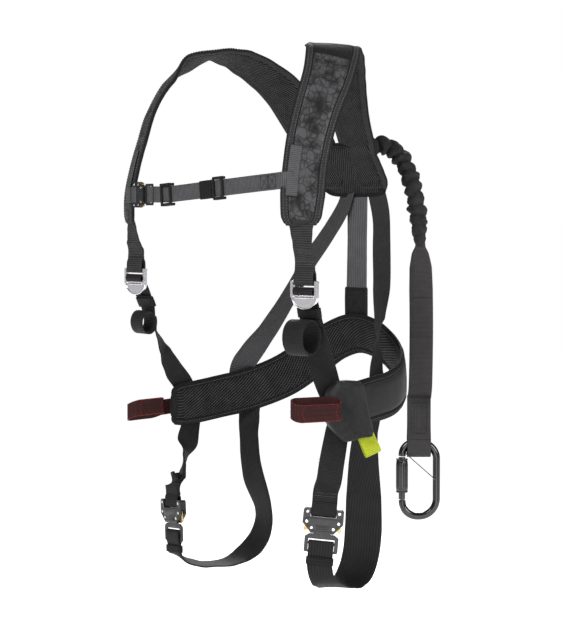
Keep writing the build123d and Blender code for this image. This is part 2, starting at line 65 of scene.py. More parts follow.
def add_camera():
    lens, sensor, pixels = 125.5, 36.0, 625
    away = facing(45)
    side = UP.cross(away)
    eye = away * 3.4 + UP * -0.245
    aside, below = 7.5 / pixels * sensor / lens, 107.5 / pixels * sensor / lens
    look = -away + side * aside - UP * below
    data = bpy.data.cameras.new("camera")
    data.lens = lens
    data.sensor_width = sensor
    camera = bpy.data.objects.new("camera", data)
    bpy.context.collection.objects.link(camera)
    camera.location = eye
    camera.rotation_mode = "QUATERNION"
    camera.rotation_quaternion = look.to_track_quat("-Z", "Y")
    bpy.context.scene.camera = camera


add_camera()


# ---------------------------------------------------------------- materials
class Graph:
    def __init__(self, name, roughness, sheen=0.0, metallic=0.0, coat=0.0):
        self.material = bpy.data.materials.new(name)
        self.material.use_nodes = True
        self.tree = self.material.node_tree
        self.shader = self.tree.nodes["Principled BSDF"]
        self.shader.inputs["Roughness"].default_value = roughness
        self.shader.inputs["Metallic"].default_value = metallic
        self.shader.inputs["Sheen Weight"].default_value = sheen * 0.05
        self.shader.inputs["Specular IOR Level"].default_value = 0.5 if metallic or coat else 0.09
        self.shader.inputs["Sheen Roughness"].default_value = 0.45
        self.shader.inputs["Coat Weight"].default_value = coat

    def put(self, socket, value):
        if isinstance(value, bpy.types.NodeSocket):
            self.tree.links.new(value, socket)
        else:
            socket.default_value = value

    def maths(self, operation, a, b=0.0):
        node = self.tree.nodes.new("ShaderNodeMath")
        node.operation = operation
        self.put(node.inputs[0], a)
        self.put(node.inputs[1], b)
        return node.outputs[0]

    def along_across(self):
        node = self.tree.nodes.new("ShaderNodeUVMap")
        node.uv_map = "UVMap"
        split = self.tree.nodes.new("ShaderNodeSeparateXYZ")
        self.tree.links.new(node.outputs[0], split.inputs[0])
        return node.outputs[0], split.outputs[0], split.outputs[1]

    def object_place(self):
        return self.tree.nodes.new("ShaderNodeTexCoord").outputs["Object"]

    def wave(self, coordinate, pitch):
        turned = self.maths("MULTIPLY", coordinate, 2 * pi / (pitch * MM))
        return self.maths("MULTIPLY_ADD", self.maths("SINE", turned), 0.5)

    def noise(self, vector, size, detail=4.0):
        node = self.tree.nodes.new("ShaderNodeTexNoise")
        self.tree.links.new(vector, node.inputs["Vector"])
        node.inputs["Scale"].default_value = 1 / (size * MM)
        node.inputs["Detail"].default_value = detail
        return node.outputs["Fac"]

    def voronoi(self, vector, size, feature, jitter=0.5):
        node = self.tree.nodes.new("ShaderNodeTexVoronoi")
        node.feature = feature
        self.tree.links.new(vector, node.inputs["Vector"])
        node.inputs["Scale"].default_value = 1 / (size * MM)
        node.inputs["Randomness"].default_value = jitter
        return node.outputs["Distance"]

    def shades(self, factor, stops):
        node = self.tree.nodes.new("ShaderNodeValToRGB")
        self.tree.links.new(factor, node.inputs[0])
        ramp = node.color_ramp
        while len(ramp.elements) < len(stops):
            ramp.elements.new(0.5)
        for element, (place, colour) in zip(ramp.elements, stops):
            element.position = place
            element.color = (*colour, 1)
        self.tree.links.new(node.outputs[0], self.shader.inputs["Base Color"])

    def rough(self, factor, low, high):
        node = self.tree.nodes.new("ShaderNodeMapRange")
        self.tree.links.new(factor, node.inputs[0])
        node.inputs[3].default_value = low
        node.inputs[4].default_value = high
        self.tree.links.new(node.outputs[0], self.shader.inputs["Roughness"])

    def bump(self, height, depth, strength=0.8):
        node = self.tree.nodes.new("ShaderNodeBump")
        node.inputs["Strength"].default_value = strength
        node.inputs["Distance"].default_value = depth * MM
        self.tree.links.new(height, node.inputs["Height"])
        self.tree.links.new(node.outputs[0], self.shader.inputs["Normal"])


def grey(value, warm=0.0):
    """A near neutral tone with a faint violet cast, and warmer where asked."""
    return (value * (1.03 + warm), value, value * (1.05 - warm * 0.6))


def webbing(name, dark, light, pitch=2.6, sheen=0.25, roughness=0.62):
    # ribs across the strap, each crossed by finer yarns
    g = Graph(name, roughness, sheen)
    place, across, along = g.along_across()
    rib = g.wave(along, pitch)
    yarn = g.wave(across, 1.7)
    wear = g.noise(place, 14)
    weave = g.maths("ADD", g.maths("MULTIPLY", rib, 0.62), g.maths("MULTIPLY", yarn, 0.38))
    tone = g.maths("ADD", g.maths("MULTIPLY", weave, 0.7), g.maths("MULTIPLY", wear, 0.3))
    g.shades(tone, [(0.15, dark), (0.85, light)])
    g.rough(weave, roughness + 0.12, roughness - 0.08)
    g.bump(weave, 0.55)
    return g.material


def ribbed_lengthwise(name, dark, light, pitch=3.4, sheen=0.3):
    # woven elastic and seat webbing: low ribs that run along the strap
    g = Graph(name, 0.6, sheen)
    place, across, along = g.along_across()
    rib = g.wave(across, pitch)
    pick = g.wave(along, 1.3)
    weave = g.maths("ADD", g.maths("MULTIPLY", rib, 0.7), g.maths("MULTIPLY", pick, 0.3))
    tone = g.maths("ADD", g.maths("MULTIPLY", weave, 0.6), g.maths("MULTIPLY", g.noise(place, 20), 0.4))
    g.shades(tone, [(0.1, dark), (0.9, light)])
    g.bump(weave, 0.4)
    return g.material


def twill(name, dark, light, roughness=0.75):
    # fine diagonal twill of binding tapes
    g = Graph(name, roughness, 0.35)
    place, across, along = g.along_across()
    line = g.wave(g.maths("ADD", g.maths("MULTIPLY", across, 0.8), along), 1.5)
    tone = g.maths("ADD", g.maths("MULTIPLY", line, 0.55), g.maths("MULTIPLY", g.noise(place, 9), 0.45))
    g.shades(tone, [(0.1, dark), (0.9, light)])
    g.bump(line, 0.3)
    return g.material


def spacer_mesh(name, hole, thread):
    # open mesh of slanted cells, threads standing over dark holes
    g = Graph(name, 0.7, 0.15)
    place, across, along = g.along_across()
    first = g.wave(g.maths("ADD", across, g.maths("MULTIPLY", along, 0.55)), 4.6)
    second = g.wave(g.maths("SUBTRACT", g.maths("MULTIPLY", along, 0.8), across), 5.2)
    net = g.maths("MAXIMUM", g.maths("POWER", first, 2.2),
        g.maths("MULTIPLY", g.maths("POWER", second, 3.0), 0.6))
    tone = g.maths("MULTIPLY", net, g.maths("ADD", g.noise(place, 18), 0.45))
    g.shades(tone, [(0.25, hole), (0.95, thread)])
    g.bump(net, 1.1, 1.0)
    return g.material


def scale_print(name):
    # satin panel with a worn print of small lighter scales
    g = Graph(name, 0.5, 0.4)
    place = g.along_across()[0]
    stretch = g.tree.nodes.new("ShaderNodeMapping")
    stretch.inputs["Scale"].default_value = (1.0, 0.8, 1.0)
    g.tree.links.new(place, stretch.inputs["Vector"])
    edge = g.voronoi(stretch.outputs[0], 9.5, "DISTANCE_TO_EDGE", 0.7)
    cell = g.maths("MINIMUM", g.maths("MULTIPLY", edge, 8.0), 1.0)
    worn = g.maths("POWER", g.noise(place, 24, 6.0), 1.6)
    tone = g.maths("MULTIPLY", g.maths("ADD", g.maths("MULTIPLY", cell, 0.4), 0.6),
        g.maths("MULTIPLY", worn, 2.6))
    g.shades(tone, [(0.15, grey(0.003)), (0.5, grey(0.012)), (1.0, grey(0.045))])
    g.rough(cell, 0.75, 0.42)
    g.bump(g.maths("ADD", cell, g.maths("MULTIPLY", g.noise(place, 3), 0.4)), 0.35)
    return g.material


def plain_cloth(name, dark, light, sheen=0.3, roughness=0.7, weave=1.1, shine=0.09):
    # fine plain weave from the place in the row frame, for shapes without a lengthwise direction
    g = Graph(name, roughness, sheen)
    g.shader.inputs["Specular IOR Level"].default_value = shine
    place = g.object_place()
    split = g.tree.nodes.new("ShaderNodeSeparateXYZ")
    g.tree.links.new(place, split.inputs[0])
    level = g.maths("ADD", split.outputs[0], g.maths("MULTIPLY", split.outputs[1], 0.7))
    cross = g.maths("MULTIPLY", g.wave(level, weave), g.wave(split.outputs[2], weave))
    tone = g.maths("ADD", g.maths("MULTIPLY", cross, 0.35),
        g.maths("MULTIPLY", g.noise(place, 22, 5.0), 0.65))
    g.shades(tone, [(0.2, dark), (0.8, light)])
    g.bump(g.maths("ADD", cross, g.maths("MULTIPLY", g.noise(place, 8), 1.2)), 0.4)
    return g.material


def coated_metal(name, dark, light, roughness, metallic, coat=0.0, wear=6.0):
    g = Graph(name, roughness, 0.0, metallic, coat)
    place = g.object_place()
    grain = g.noise(place, wear, 6.0)
    g.shades(grain, [(0.3, dark), (0.75, light)])
    g.rough(g.noise(place, 5.0), roughness - 0.05, roughness + 0.08)
    g.bump(g.noise(place, 1.5), 0.02, 0.3)
    return g.material


def thread_material(name, dark, light):
    g = Graph(name, 0.55, 0.4)
    g.shades(g.noise(g.object_place(), 2.0), [(0.3, dark), (0.7, light)])
    g.bump(g.noise(g.object_place(), 0.5), 0.1)
    return g.material


M = {
    "black": webbing("webbing_black", grey(0.0025), grey(0.017)),
    "front": webbing("webbing_front", grey(0.004), grey(0.034), 3.4),
    "dark_grey": webbing("webbing_dark_grey", grey(0.010), grey(0.030), 2.2),
    "grey": webbing("webbing_grey", grey(0.014), grey(0.052), 3.0),
    "chest": webbing("webbing_chest", grey(0.020), grey(0.075), 2.8),
    "tether": webbing("webbing_tether", grey(0.016, 0.03), grey(0.040, 0.03), 2.0),
    "maroon": webbing("webbing_maroon", (0.007, 0.0025, 0.0025), (0.040, 0.011, 0.010), 2.0),
    "lime": webbing("webbing_lime", (0.14, 0.17, 0.006), (0.36, 0.41, 0.025), 2.4),
    "seat": ribbed_lengthwise("webbing_seat", grey(0.003), grey(0.016), 4.2),
    "elastic_grey": ribbed_lengthwise("elastic_grey", grey(0.026), grey(0.080), 5.0),
    "elastic": ribbed_lengthwise("elastic_black", grey(0.002), grey(0.012), 1.9),
    "binding": twill("binding_twill", grey(0.008), grey(0.030)),
    "binding_dark": twill("binding_dark", grey(0.0025), grey(0.012)),
    "mesh": spacer_mesh("spacer_mesh", grey(0.0008), grey(0.042)),
    "print": scale_print("scale_print"),
    "cloth": plain_cloth("pouch_nylon", grey(0.003), grey(0.014), 0.3, 0.5, 1.1, 0.2),
    "gusset": plain_cloth("gusset_nylon", grey(0.014), grey(0.042)),
    "gathered": plain_cloth("gathered_tube", grey(0.007, 0.05), grey(0.034, 0.05), 0.5, 0.75),
    "thread": thread_material("thread_black", grey(0.001), grey(0.005)),
    "thread_grey": thread_material("thread_grey", grey(0.045), grey(0.11)),
    "thread_red": thread_material("thread_red", (0.16, 0.008, 0.008), (0.42, 0.02, 0.015)),
    "steel": coated_metal("steel_black", grey(0.006), grey(0.016), 0.36, 0.4, 0.2),
    "gloss": coated_metal("gloss_black", grey(0.003), grey(0.008), 0.16, 0.25, 0.3),
    "chrome": coated_metal("chrome", grey(0.55), grey(0.66), 0.2, 1.0, 0.0, 12.0),
    "brass": coated_metal("brass", (0.30, 0.20, 0.07), (0.55, 0.40, 0.16), 0.32, 1.0),
    "plastic": coated_metal("moulded_plastic", grey(0.006), grey(0.014), 0.45, 0.0),
}


# ---------------------------------------------------------------- mesh helpers
def piece(name, verts, faces, materials, regions=None, uvs=None, smooth=True):
    mesh = bpy.data.meshes.new(name)
    mesh.from_pydata(verts, [], faces)
    for material in materials:
        mesh.materials.append(M[material])
    if regions:
        mesh.polygons.foreach_set("material_index", regions)
    if uvs:
        layer = mesh.uv_layers.new(name="UVMap")
        for loop, uv in zip(layer.data, uvs):
            loop.uv = uv
    mesh.validate()
    mesh.polygons.foreach_set("use_smooth", [smooth] * len(mesh.polygons))
    obj = bpy.data.objects.new(name, mesh)
    bpy.context.collection.objects.link(obj)
    return obj


def settle(obj, body, slot, replaced=()):
    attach(obj, body)
    if replaced:
        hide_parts(*replaced)
    return obj


class Place:
    """A hardware piece's own axes: x across, y up the strap, z outward, in millimetres."""

    def __init__(self, origin, azimuth, roll=0):
        self.z = facing(azimuth)
        across = UP.cross(self.z)
        self.x = across * cos(radians(roll)) + UP * sin(radians(roll))
        self.y = self.z.cross(self.x)
        self.origin = Vector(origin) * MM

    def at(self, x, y, z=0.0):
        return self.origin + (self.x * x + self.y * y + self.z * z) * MM


class Strip:
    """A strap's line with its frames: points, across and outward directions, width and thickness."""

    def __init__(self, frames):
        self.frames = frames
        self.runs = [0.0]
        for before, after in zip(frames, frames[1:]):
            self.runs.append(self.runs[-1] + (after[0] - before[0]).length)
        self.length = self.runs[-1]

    def frame(self, v):
        v = min(max(v, 0.0), self.length)
        i = 0
        while i < len(self.runs) - 2 and self.runs[i + 1] < v:
            i += 1
        span = self.runs[i + 1] - self.runs[i]
        t = (v - self.runs[i]) / span if span else 0.0
        a, b = self.frames[i], self.frames[i + 1]
        mixed = [a[k].lerp(b[k], t) for k in range(3)]
        return (*mixed, a[3] + (b[3] - a[3]) * t, a[4] + (b[4] - a[4]) * t)

    def at(self, v, across, out):
        """The point at v metres along, across metres from the middle and out metres above the face."""
        point, side, normal, _, thick = self.frame(v)
        face = normal.normalized()
        return point + side.normalized() * across + face * (thick / 2 + out), face


def spline_point(p, t, knots):
    a = [p[i].lerp(p[i + 1], (t - knots[i]) / (knots[i + 1] - knots[i])) for i in range(3)]
    b = [a[i].lerp(a[i + 1], (t - knots[i]) / (knots[i + 2] - knots[i])) for i in range(2)]
    return b[0].lerp(b[1], (t - knots[1]) / (knots[2] - knots[1]))


def strip_of(stations, step=3.0):
    """Stations are (x, y, z, azimuth, elevation, width, thickness), joined by one smooth line."""
    points = [Vector(s[:3]) * MM for s in stations]
    ends = [points[0] * 2 - points[1], *points, points[-1] * 2 - points[-2]]
    faces = [facing(s[3], s[4]) for s in stations]
    raw = []
    for i in range(len(points) - 1):
        p = ends[i:i + 4]
        knots = [0.0]
        for a, b in zip(p, p[1:]):
            knots.append(knots[-1] + sqrt(max((b - a).length, 1e-6)))
        count = max(2, round((p[2] - p[1]).length / (step * MM)))
        for k in range(count + (i == len(points) - 2)):
            f = k / count
            ease = f * f * (3 - 2 * f)
            point = spline_point(p, knots[1] + (knots[2] - knots[1]) * f, knots)
            width = stations[i][5] + (stations[i + 1][5] - stations[i][5]) * f
            thick = stations[i][6] + (stations[i + 1][6] - stations[i][6]) * f
            raw.append((point, faces[i].lerp(faces[i + 1], ease), width * MM, thick * MM))
    frames = []
    for i, (point, face, width, thick) in enumerate(raw):
        along = (raw[min(i + 1, len(raw) - 1)][0] - raw[max(i - 1, 0)][0]).normalized()
        side = along.cross(face).normalized()
        frames.append((point, side, side.cross(along), width, thick))
    return Strip(frames)


def loop_strip(place, path, width, thick):
    """A tape whose line is a path of (up, out) points in a hardware piece's own axes."""
    line = [place.at(0, up, out) for up, out in path]
    frames = []
    for i, point in enumerate(line):
        along = (line[min(i + 1, len(line) - 1)] - line[max(i - 1, 0)]).normalized()
        frames.append((point, -place.x, (-place.x).cross(along), width * MM, thick * MM))
    return Strip(frames)


def arc(centre, radius, start, end, count=14):
    angles = [radians(start + (end - start) * i / count) for i in range(count + 1)]
    return [(centre[0] + radius * cos(a), centre[1] + radius * sin(a)) for a in angles]


def tape_outline(width, thick, wobble):
    half, deep = width / 2, thick / 2
    edge = min(deep, 0.0012)
    outer = [(-half, 0.0), (-half + edge * 0.3, deep * 0.72), (-half + edge, deep)]
    outer += [((-0.6 + 0.3 * i) * half, deep * (1.0 + wobble * (1 if i % 2 else -1))) for i in range(5)]
    outer += [(half - edge, deep), (half - edge * 0.3, deep * 0.72), (half, 0.0)]
    inner = [(x, -y) for x, y in reversed(outer[1:-1])]
    return outer + inner


def sweep(name, strip, materials, outline=None, region=None, round_ends=0.0):
    """A closed solid along a strip. outline(width, thick, v) gives (across, out) points round the section."""
    verts, faces, regions, uvs = [], [], [], []
    rings = []
    for i, (point, side, normal, width, thick) in enumerate(strip.frames):
        v = strip.runs[i]
        near = min(v, strip.length - v)
        full = 1.0
        if round_ends and near < round_ends:
            full = max(0.12, sqrt(1 - (1 - near / round_ends) ** 2))
        section = outline(width, thick, v) if outline else tape_outline(width, thick, 0.04)
        rings.append(section)
        lift = noise.noise(Vector((v * 60, width * 900, 3.1))) * 0.00025
        for across, out in section:
            verts.append(point + side * across + normal * (out * full + lift * full))
    count = len(rings[0])
    around = []
    for section in rings:
        turns = [0.0]
        for k in range(count):
            a, b = section[k], section[(k + 1) % count]
            turns.append(turns[-1] + hypot(b[0] - a[0], b[1] - a[1]))
        around.append(turns)
    for i in range(len(rings) - 1):
        for k in range(count):
            n = (k + 1) % count
            faces.append((i * count + k, i * count + n, (i + 1) * count + n, (i + 1) * count + k))
            regions.append(region(k, strip.runs[i]) if region else 0)
            low, high = strip.runs[i], strip.runs[i + 1]
            uvs += [(around[i][k], low), (around[i][k + 1], low), (around[i + 1][k + 1], high),
                (around[i + 1][k], high)]
    for i, flip in ((0, True), (len(rings) - 1, False)):
        ring = [i * count + k for k in range(count)]
        faces.append(tuple(reversed(ring)) if flip else tuple(ring))
        regions.append(region(0, strip.runs[i]) if region else 0)
        section = rings[i]
        corner = [(section[k][0], strip.runs[i] + section[k][1]) for k in range(count)]
        uvs += list(reversed(corner)) if flip else corner
    obj = piece(name, verts, faces, materials, regions, uvs)
    return obj


def join(name, objects):
    """Makes one piece of several meshes, with their materials."""
    bpy.ops.object.select_all(action="DESELECT")
    for obj in objects:
        obj.select_set(True)
    bpy.context.view_layer.objects.active = objects[0]
    bpy.ops.object.join()
    objects[0].name = name
    objects[0].data.name = name
    return objects[0]


def tube(name, line, radius, material, sides=8, closed=False):
    """A round cord such as piping. line is a list of (point, normal)."""
    frames = []
    total = len(line)
    for i, (point, normal) in enumerate(line):
        before = line[(i - 1) % total][0] if closed or i else point
        after = line[(i + 1) % total][0] if closed or i < total - 1 else point
        along = (after - before).normalized()
        side = along.cross(normal).normalized()
        frames.append((point, side, side.cross(along)))
    verts, faces, uvs = [], [], []
    for point, side, out in frames:
        for k in range(sides):
            turn = 2 * pi * k / sides
            verts.append(point + (side * cos(turn) + out * sin(turn)) * radius)
    run = 0.0
    for i in range(total if closed else total - 1):
        j = (i + 1) % total
        far = run + (frames[j][0] - frames[i][0]).length
        for k in range(sides):
            n = (k + 1) % sides
            faces.append((i * sides + k, i * sides + n, j * sides + n, j * sides + k))
            low, high = 2 * pi * radius * k / sides, 2 * pi * radius * (k + 1) / sides
            uvs += [(low, run), (high, run), (high, far), (low, far)]
        run = far
    if not closed:
        for i, flip in ((0, True), (total - 1, False)):
            ring = [i * sides + k for k in range(sides)]
            faces.append(tuple(reversed(ring)) if flip else tuple(ring))
            uvs += [(0, 0)] * sides
    return piece(name, verts, faces, [material], None, uvs)


def stitches(name, lines, material, length=3.0, gap=1.3, radius=0.42):
    """Rows of raised thread. Each line is a list of (point, normal)."""
    verts, faces = [], []
    for line in lines:
        runs = [0.0]
        for a, b in zip(line, line[1:]):
            runs.append(runs[-1] + (b[0] - a[0]).length)

        def sample(v):
            i = 0
            while i < len(runs) - 2 and runs[i + 1] < v:
                i += 1
            t = (v - runs[i]) / max(runs[i + 1] - runs[i], 1e-9)
            return line[i][0].lerp(line[i + 1][0], t), line[i][1].lerp(line[i + 1][1], t).normalized()

        v = 0.0
        while v + length * MM * 0.6 < runs[-1]:
            start, end = sample(v), sample(min(v + length * MM, runs[-1]))
            along = (end[0] - start[0]).normalized()
            normal = (start[1] + end[1]).normalized()
            side = along.cross(normal).normalized()
            middle = (start[0] + end[0]) / 2
            base = len(verts)
            wide = radius * MM
            verts.extend([start[0] - normal * 0.0002, end[0] - normal * 0.0002])
            for at in (start[0].lerp(middle, 0.45), end[0].lerp(middle, 0.45)):
                verts.extend([at + side * wide, at + normal * wide * 1.1, at - side * wide,
                    at - normal * wide * 0.6])
            for k in range(4):
                n = (k + 1) % 4
                faces.append((base, base + 2 + n, base + 2 + k))
                faces.append((base + 2 + k, base + 2 + n, base + 6 + n, base + 6 + k))
                faces.append((base + 1, base + 6 + k, base + 6 + n))
            v += (length + gap) * MM
    return piece(name, verts, faces, [material])


def flat_lines(strip, shapes, out=0.0):
    """Lines drawn on a strip, given as lists of (along, across) in millimetres."""
    lines = []
    for shape in shapes:
        line = []
        for (v0, u0), (v1, u1) in zip(shape, shape[1:]):
            count = max(1, round(hypot(v1 - v0, u1 - u0) / 2.0))
            for i in range(count + (v1 == shape[-1][0] and u1 == shape[-1][1])):
                f = i / count
                line.append(strip.at((v0 + (v1 - v0) * f) * MM, (u0 + (u1 - u0) * f) * MM, out * MM))
        lines.append(line)
    return lines


def zigzag(start, end, half, pitch=2.2):
    count = max(4, round(2 * half / pitch))
    return [(start + (end - start) * (i % 2), -half + 2 * half * i / count) for i in range(count + 1)]


def boxed_cross(start, end, half):
    box = [(start, -half), (end, -half), (end, half), (start, half), (start, -half)]
    return [box, [(start, -half), (end, half)], [(start, half), (end, -half)]]


def bar_tacks(start, end, half, rows):
    step = (end - start) / rows
    return [zigzag(start + step * i, start + step * (i + 0.55), half) for i in range(rows)]


# ---------------------------------------------------------------- strap tables
# x, y, z, azimuth and elevation of the outward face, width, thickness
SHOULDER = [
    (188, -131, -275, 45, 0, 44, 8), (189, -132, -262, 45, 0, 58, 9), (190, -130, -230, 45, 0, 64, 9),
    (187, -121, -185, 45, 2, 64, 9), (184, -108, -143, 47, 5, 66, 9), (183, -91, -100, 48, 8, 68, 9),
    (176, -62, -54, 50, 18, 74, 9), (157, -32, -19, 58, 45, 80, 9), (134, -7, -7, 80, 84, 84, 9),
    (118, 18, -10, 160, 74, 86, 9), (104, 39, -19, 165, 60, 86, 9), (86, 63, -37, 168, 50, 87, 9),
    (69, 88, -62, 168, 42, 88, 9), (55, 113, -100, 170, 34, 88, 9), (47, 136, -140, 172, 32, 84, 9),
    (43, 148, -160, 174, 32, 78, 9),
]
BELT = [
    (187, -47, -549, 90, 0, 46, 10), (189, -40, -548, 90, 0, 60, 12), (192, -18, -544, 90, 0, 68, 12),
    (193, 20, -538, 92, 0, 68, 12), (188, 64, -532, 100, 0, 68, 12), (168, 112, -518, 125, 2, 68, 12),
    (130, 152, -498, 145, 6, 68, 12), (86, 176, -476, 160, 10, 66, 12), (42, 188, -459, 172, 12, 64, 12),
    (0, 190, -453, 180, 12, 64, 12), (-42, 186, -466, -172, 12, 64, 12), (-86, 174, -496, -160, 8, 66, 12),
    (-128, 152, -527, -145, 5, 68, 12), (-166, 112, -549, -125, 0, 68, 12), (-186, 64, -559, -100, 0, 68, 12),
    (-192, 20, -565, -92, 0, 68, 12), (-192, -20, -568, -90, 0, 66, 12), (-189, -38, -569, -90, 0, 58, 12),
    (-187, -44, -569, -90, 0, 46, 10),
]
SPINE = [(2, 190, -214, 180, 0, 45, 2.2), (1, 191, -300, 180, 0, 42, 2.2), (0, 190, -425, 180, 0, 45, 2.2)]
BACK_LEFT = [
    (38, 192, -212, 178, 0, 38, 2), (57, 186, -260, 180, 0, 38, 2), (75, 168, -310, 182, 0, 38, 2),
    (92, 150, -370, 180, 0, 38, 2), (108, 128, -428, 160, 0, 38, 2), (118, 114, -450, 135, 0, 38, 2),
    (130, 100, -476, 105, 0, 38, 2), (146, 80, -503, 92, 0, 38, 2), (158, 66, -530, 90, 0, 38, 2),
]
BACK_RIGHT = [
    (-16, 191, -214, 165, 0, 38, 2), (-27, 188, -248, 162, 0, 38, 2), (-49, 180, -286, 162, 0, 38, 2),
    (-85, 166, -340, 165, 0, 38, 2), (-113, 149, -396, 170, 0, 38, 2), (-141, 127, -452, 180, 0, 38, 2),
    (-165, 109, -492, -150, 0, 38, 2), (-179.5, 104, -515, -122, 0, 38, 2),
    (-180.4, 102.6, -545, -118, 0, 38, 2),
]
SIDE_LEFT = [
    (186, -116, -380, 2, 0, 38, 2), (187, -109, -410, 8, 0, 38, 2), (188, -99, -445, 20, 0, 38, 2),
    (189, -86, -485, 42, 0, 38, 2), (190, -72, -518, 62, 0, 38, 2), (194, -54, -548, 82, 0, 38, 2),
]
SIDE_RIGHT = [
    (-184, -116, -371, -2, 0, 38, 2), (-183.5, -101, -398, -8, 0, 38, 2), (-183, -92, -427, -20, 0, 38, 2),
    (-182.5, -82, -449, -38, 0, 38, 2), (-182.5, -70, -471, -50, 0, 38, 2), (-185, -57, -490, -70, 0, 38, 2),
    (-194, -34, -512, -88, 0, 38, 2), (-198.8, -8, -536, -91, 0, 38, 2), (-198.8, 4, -556, -91, 0, 38, 2),
]
THIGH_LEFT = [
    (196.3, -48, -530, 86, 0, 38, 2), (195, -52, -552, 82, 0, 38, 2), (191, -58, -585, 62, 0, 38, 2),
    (184, -62, -630, 50, 0, 38, 2), (179, -62, -655, 45, 0, 38, 4.4),
]
THIGH_RIGHT = [
    (-198.8, 10, -566, -91, 0, 38, 2), (-197.5, 7, -600, -94, 0, 38, 2), (-192, -5, -626, -110, 0, 38, 2),
    (-187, -16, -650, -52, 0, 38, 2), (-182, -26, -672, -30, 0, 38, 4.4), (-177, -37, -694, -20, 0, 38, 4.4),
]
SEAT_LEFT = [
    (157, -53, -807, 40, -35, 38, 2.4), (152, -33, -819, 40, -62, 42, 2.4), (146, -6, -825, 40, -88, 50, 2.4),
    (140, 22, -822, 220, -65, 54, 2.4), (134, 46, -808, 220, -35, 56, 2.4),
    (128, 64, -782, 224, -12, 57, 2.4),
    (125, 72, -750, 225, 0, 58, 2.4), (124, 74, -700, 225, 0, 55, 2.4), (124, 74, -640, 225, 0, 46, 2.4),
    (131, 71, -595, 232, 0, 38, 2.4), (146, 68, -560, 254, 0, 38, 2.4), (157, 66, -533, 268, 0, 38, 2.4),
]
SEAT_RIGHT = [
    (-163, -44, -813, -30, -35, 38, 2.4), (-158, -22, -822, -35, -60, 40, 2.4),
    (-152, 8, -827, -40, -85, 46, 2.4),
    (-142, 40, -826, 170, -65, 50, 2.4), (-132, 64, -814, 170, -35, 54, 2.4),
    (-120, 80, -795, 168, -15, 55, 2.4),
    (-112, 88, -768, 166, 0, 55, 2.4), (-114, 90, -738, 164, 0, 55, 2.4), (-136, 87, -682, 175, 0, 52, 2.4),
    (-157, 100, -633, -178, 0, 44, 2.4), (-170.5, 113.5, -592, -160, 0, 38, 2.4),
    (-173, 116, -562, -132, 0, 38, 2.4),
]

LEG_LEFT = Place((164.5, -59.5, -717), 40, -5)
LEG_RIGHT = Place((-170, -57.5, -735), -11, 3)
CHEST = Place((-145, -150, -229), 0, 90.5)
CHEST_SCALE = 25 / 38
CHEST_SLOPE = Vector((178, 1, 14.5)).normalized()
ADJUSTER_LEFT = Place((186, -121, -378), 2)
ADJUSTER_RIGHT = Place((-184, -123, -367), -4)
CLIP = Place((98, 233, -687), 45)


def on_hardware(place, up, azimuth, width, thick):
    point = place.at(0, up) / MM
    return (point.x, point.y, point.z, azimuth, 0, width, thick)


# ---------------------------------------------------------------- tether, a flat cord in two parts
ROUTE = [
    (8, 160, -168), (32, 198, -144), (56, 222, -156), (73, 233, -187), (85, 236, -226), (93, 236, -266),
    (99, 234, -308), (99.5, 234.5, -345), (100, 236, -450), (99, 235, -540), (98.5, 233.5, -600),
    (98, 233, -638),
]


def cord_line(route):
    curve = bpy.data.curves.new("route", "CURVE")
    curve.dimensions = "3D"
    curve.resolution_u = 24
    spline = curve.splines.new("NURBS")
    spline.points.add(len(route) - 1)
    for point, at in zip(spline.points, route):
        point.co = (at[0] * MM, at[1] * MM, at[2] * MM, 1)
    spline.order_u = 3
    spline.use_endpoint_u = True
    holder = bpy.data.objects.new("route", curve)
    bpy.context.collection.objects.link(holder)
    bpy.context.view_layer.update()
    line = [v.co.copy() for v in bpy.data.meshes.new_from_object(holder).vertices]
    bpy.data.objects.remove(holder)
    return line


def bungee_mesh(line, reach):
    # gathered tube: fourteen uneven puffs with slanted necks, then the knot and the neck into the flat part
    puffs = [0.0, 0.018, 0.036, 0.055, 0.071, 0.089, 0.106, 0.126, 0.142, 0.160, 0.179, 0.196, 0.214, 0.229,
        reach]
    tops = [14.0, 15.6, 14.2, 15.8, 15.0, 16.2, 14.6, 16.0, 15.2, 14.0, 16.4, 14.2, 12.6, 10.0]
    runs, verts, faces = [0.0], [], []
    for a, b in zip(line, line[1:]):
        runs.append(runs[-1] + (b - a).length)
    sides, step = 40, 0.0012
    count = int(reach / step)
    side = Vector((1, 1, 0)).normalized()
    for i in range(count + 1):
        v = min(reach * i / count, reach - 1e-5)
        k = max(j for j in range(len(runs) - 1) if runs[j] <= v)
        point = line[k].lerp(line[k + 1], (v - runs[k]) / (runs[k + 1] - runs[k]))
        along = (line[min(k + 2, len(line) - 1)] - line[max(k - 1, 0)]).normalized()
        side = (side - along * side.dot(along)).normalized()
        out = along.cross(side)
        for s in range(sides):
            turn = 2 * pi * s / sides
            slanted = v + 0.0035 * sin(turn + v * 70) + 0.0018 * sin(2 * turn + v * 31)
            slanted = min(max(slanted, 0.0), reach - 1e-6)
            n = max(j for j in range(len(puffs) - 1) if puffs[j] <= slanted)
            f = (slanted - puffs[n]) / (puffs[n + 1] - puffs[n])
            swell = sin(pi * f) ** 0.55
            crease = noise.noise(Vector((cos(turn) * 2.4, sin(turn) * 2.4, v * 150))) * 1.7
            pleat = 0.5 * sin(turn * 9 + n * 1.7) * (1 - swell)
            radius = 9.6 + (tops[n] - 9.6) * swell + crease * (0.35 + 0.65 * swell) + pleat
            narrow = min(1.0, (reach - v) / 0.012)
            radius = radius * (0.55 + 0.45 * narrow)
            verts.append(point + (side * cos(turn) + out * sin(turn)) * radius * MM)
    for i in range(count):
        for s in range(sides):
            n = (s + 1) % sides
            faces.append((i * sides + s, i * sides + n, (i + 1) * sides + n, (i + 1) * sides + s))
    faces.append(tuple(reversed(range(sides))))
    faces.append(tuple(count * sides + s for s in range(sides)))
    return piece("tether_gathered", verts, faces, ["gathered"])


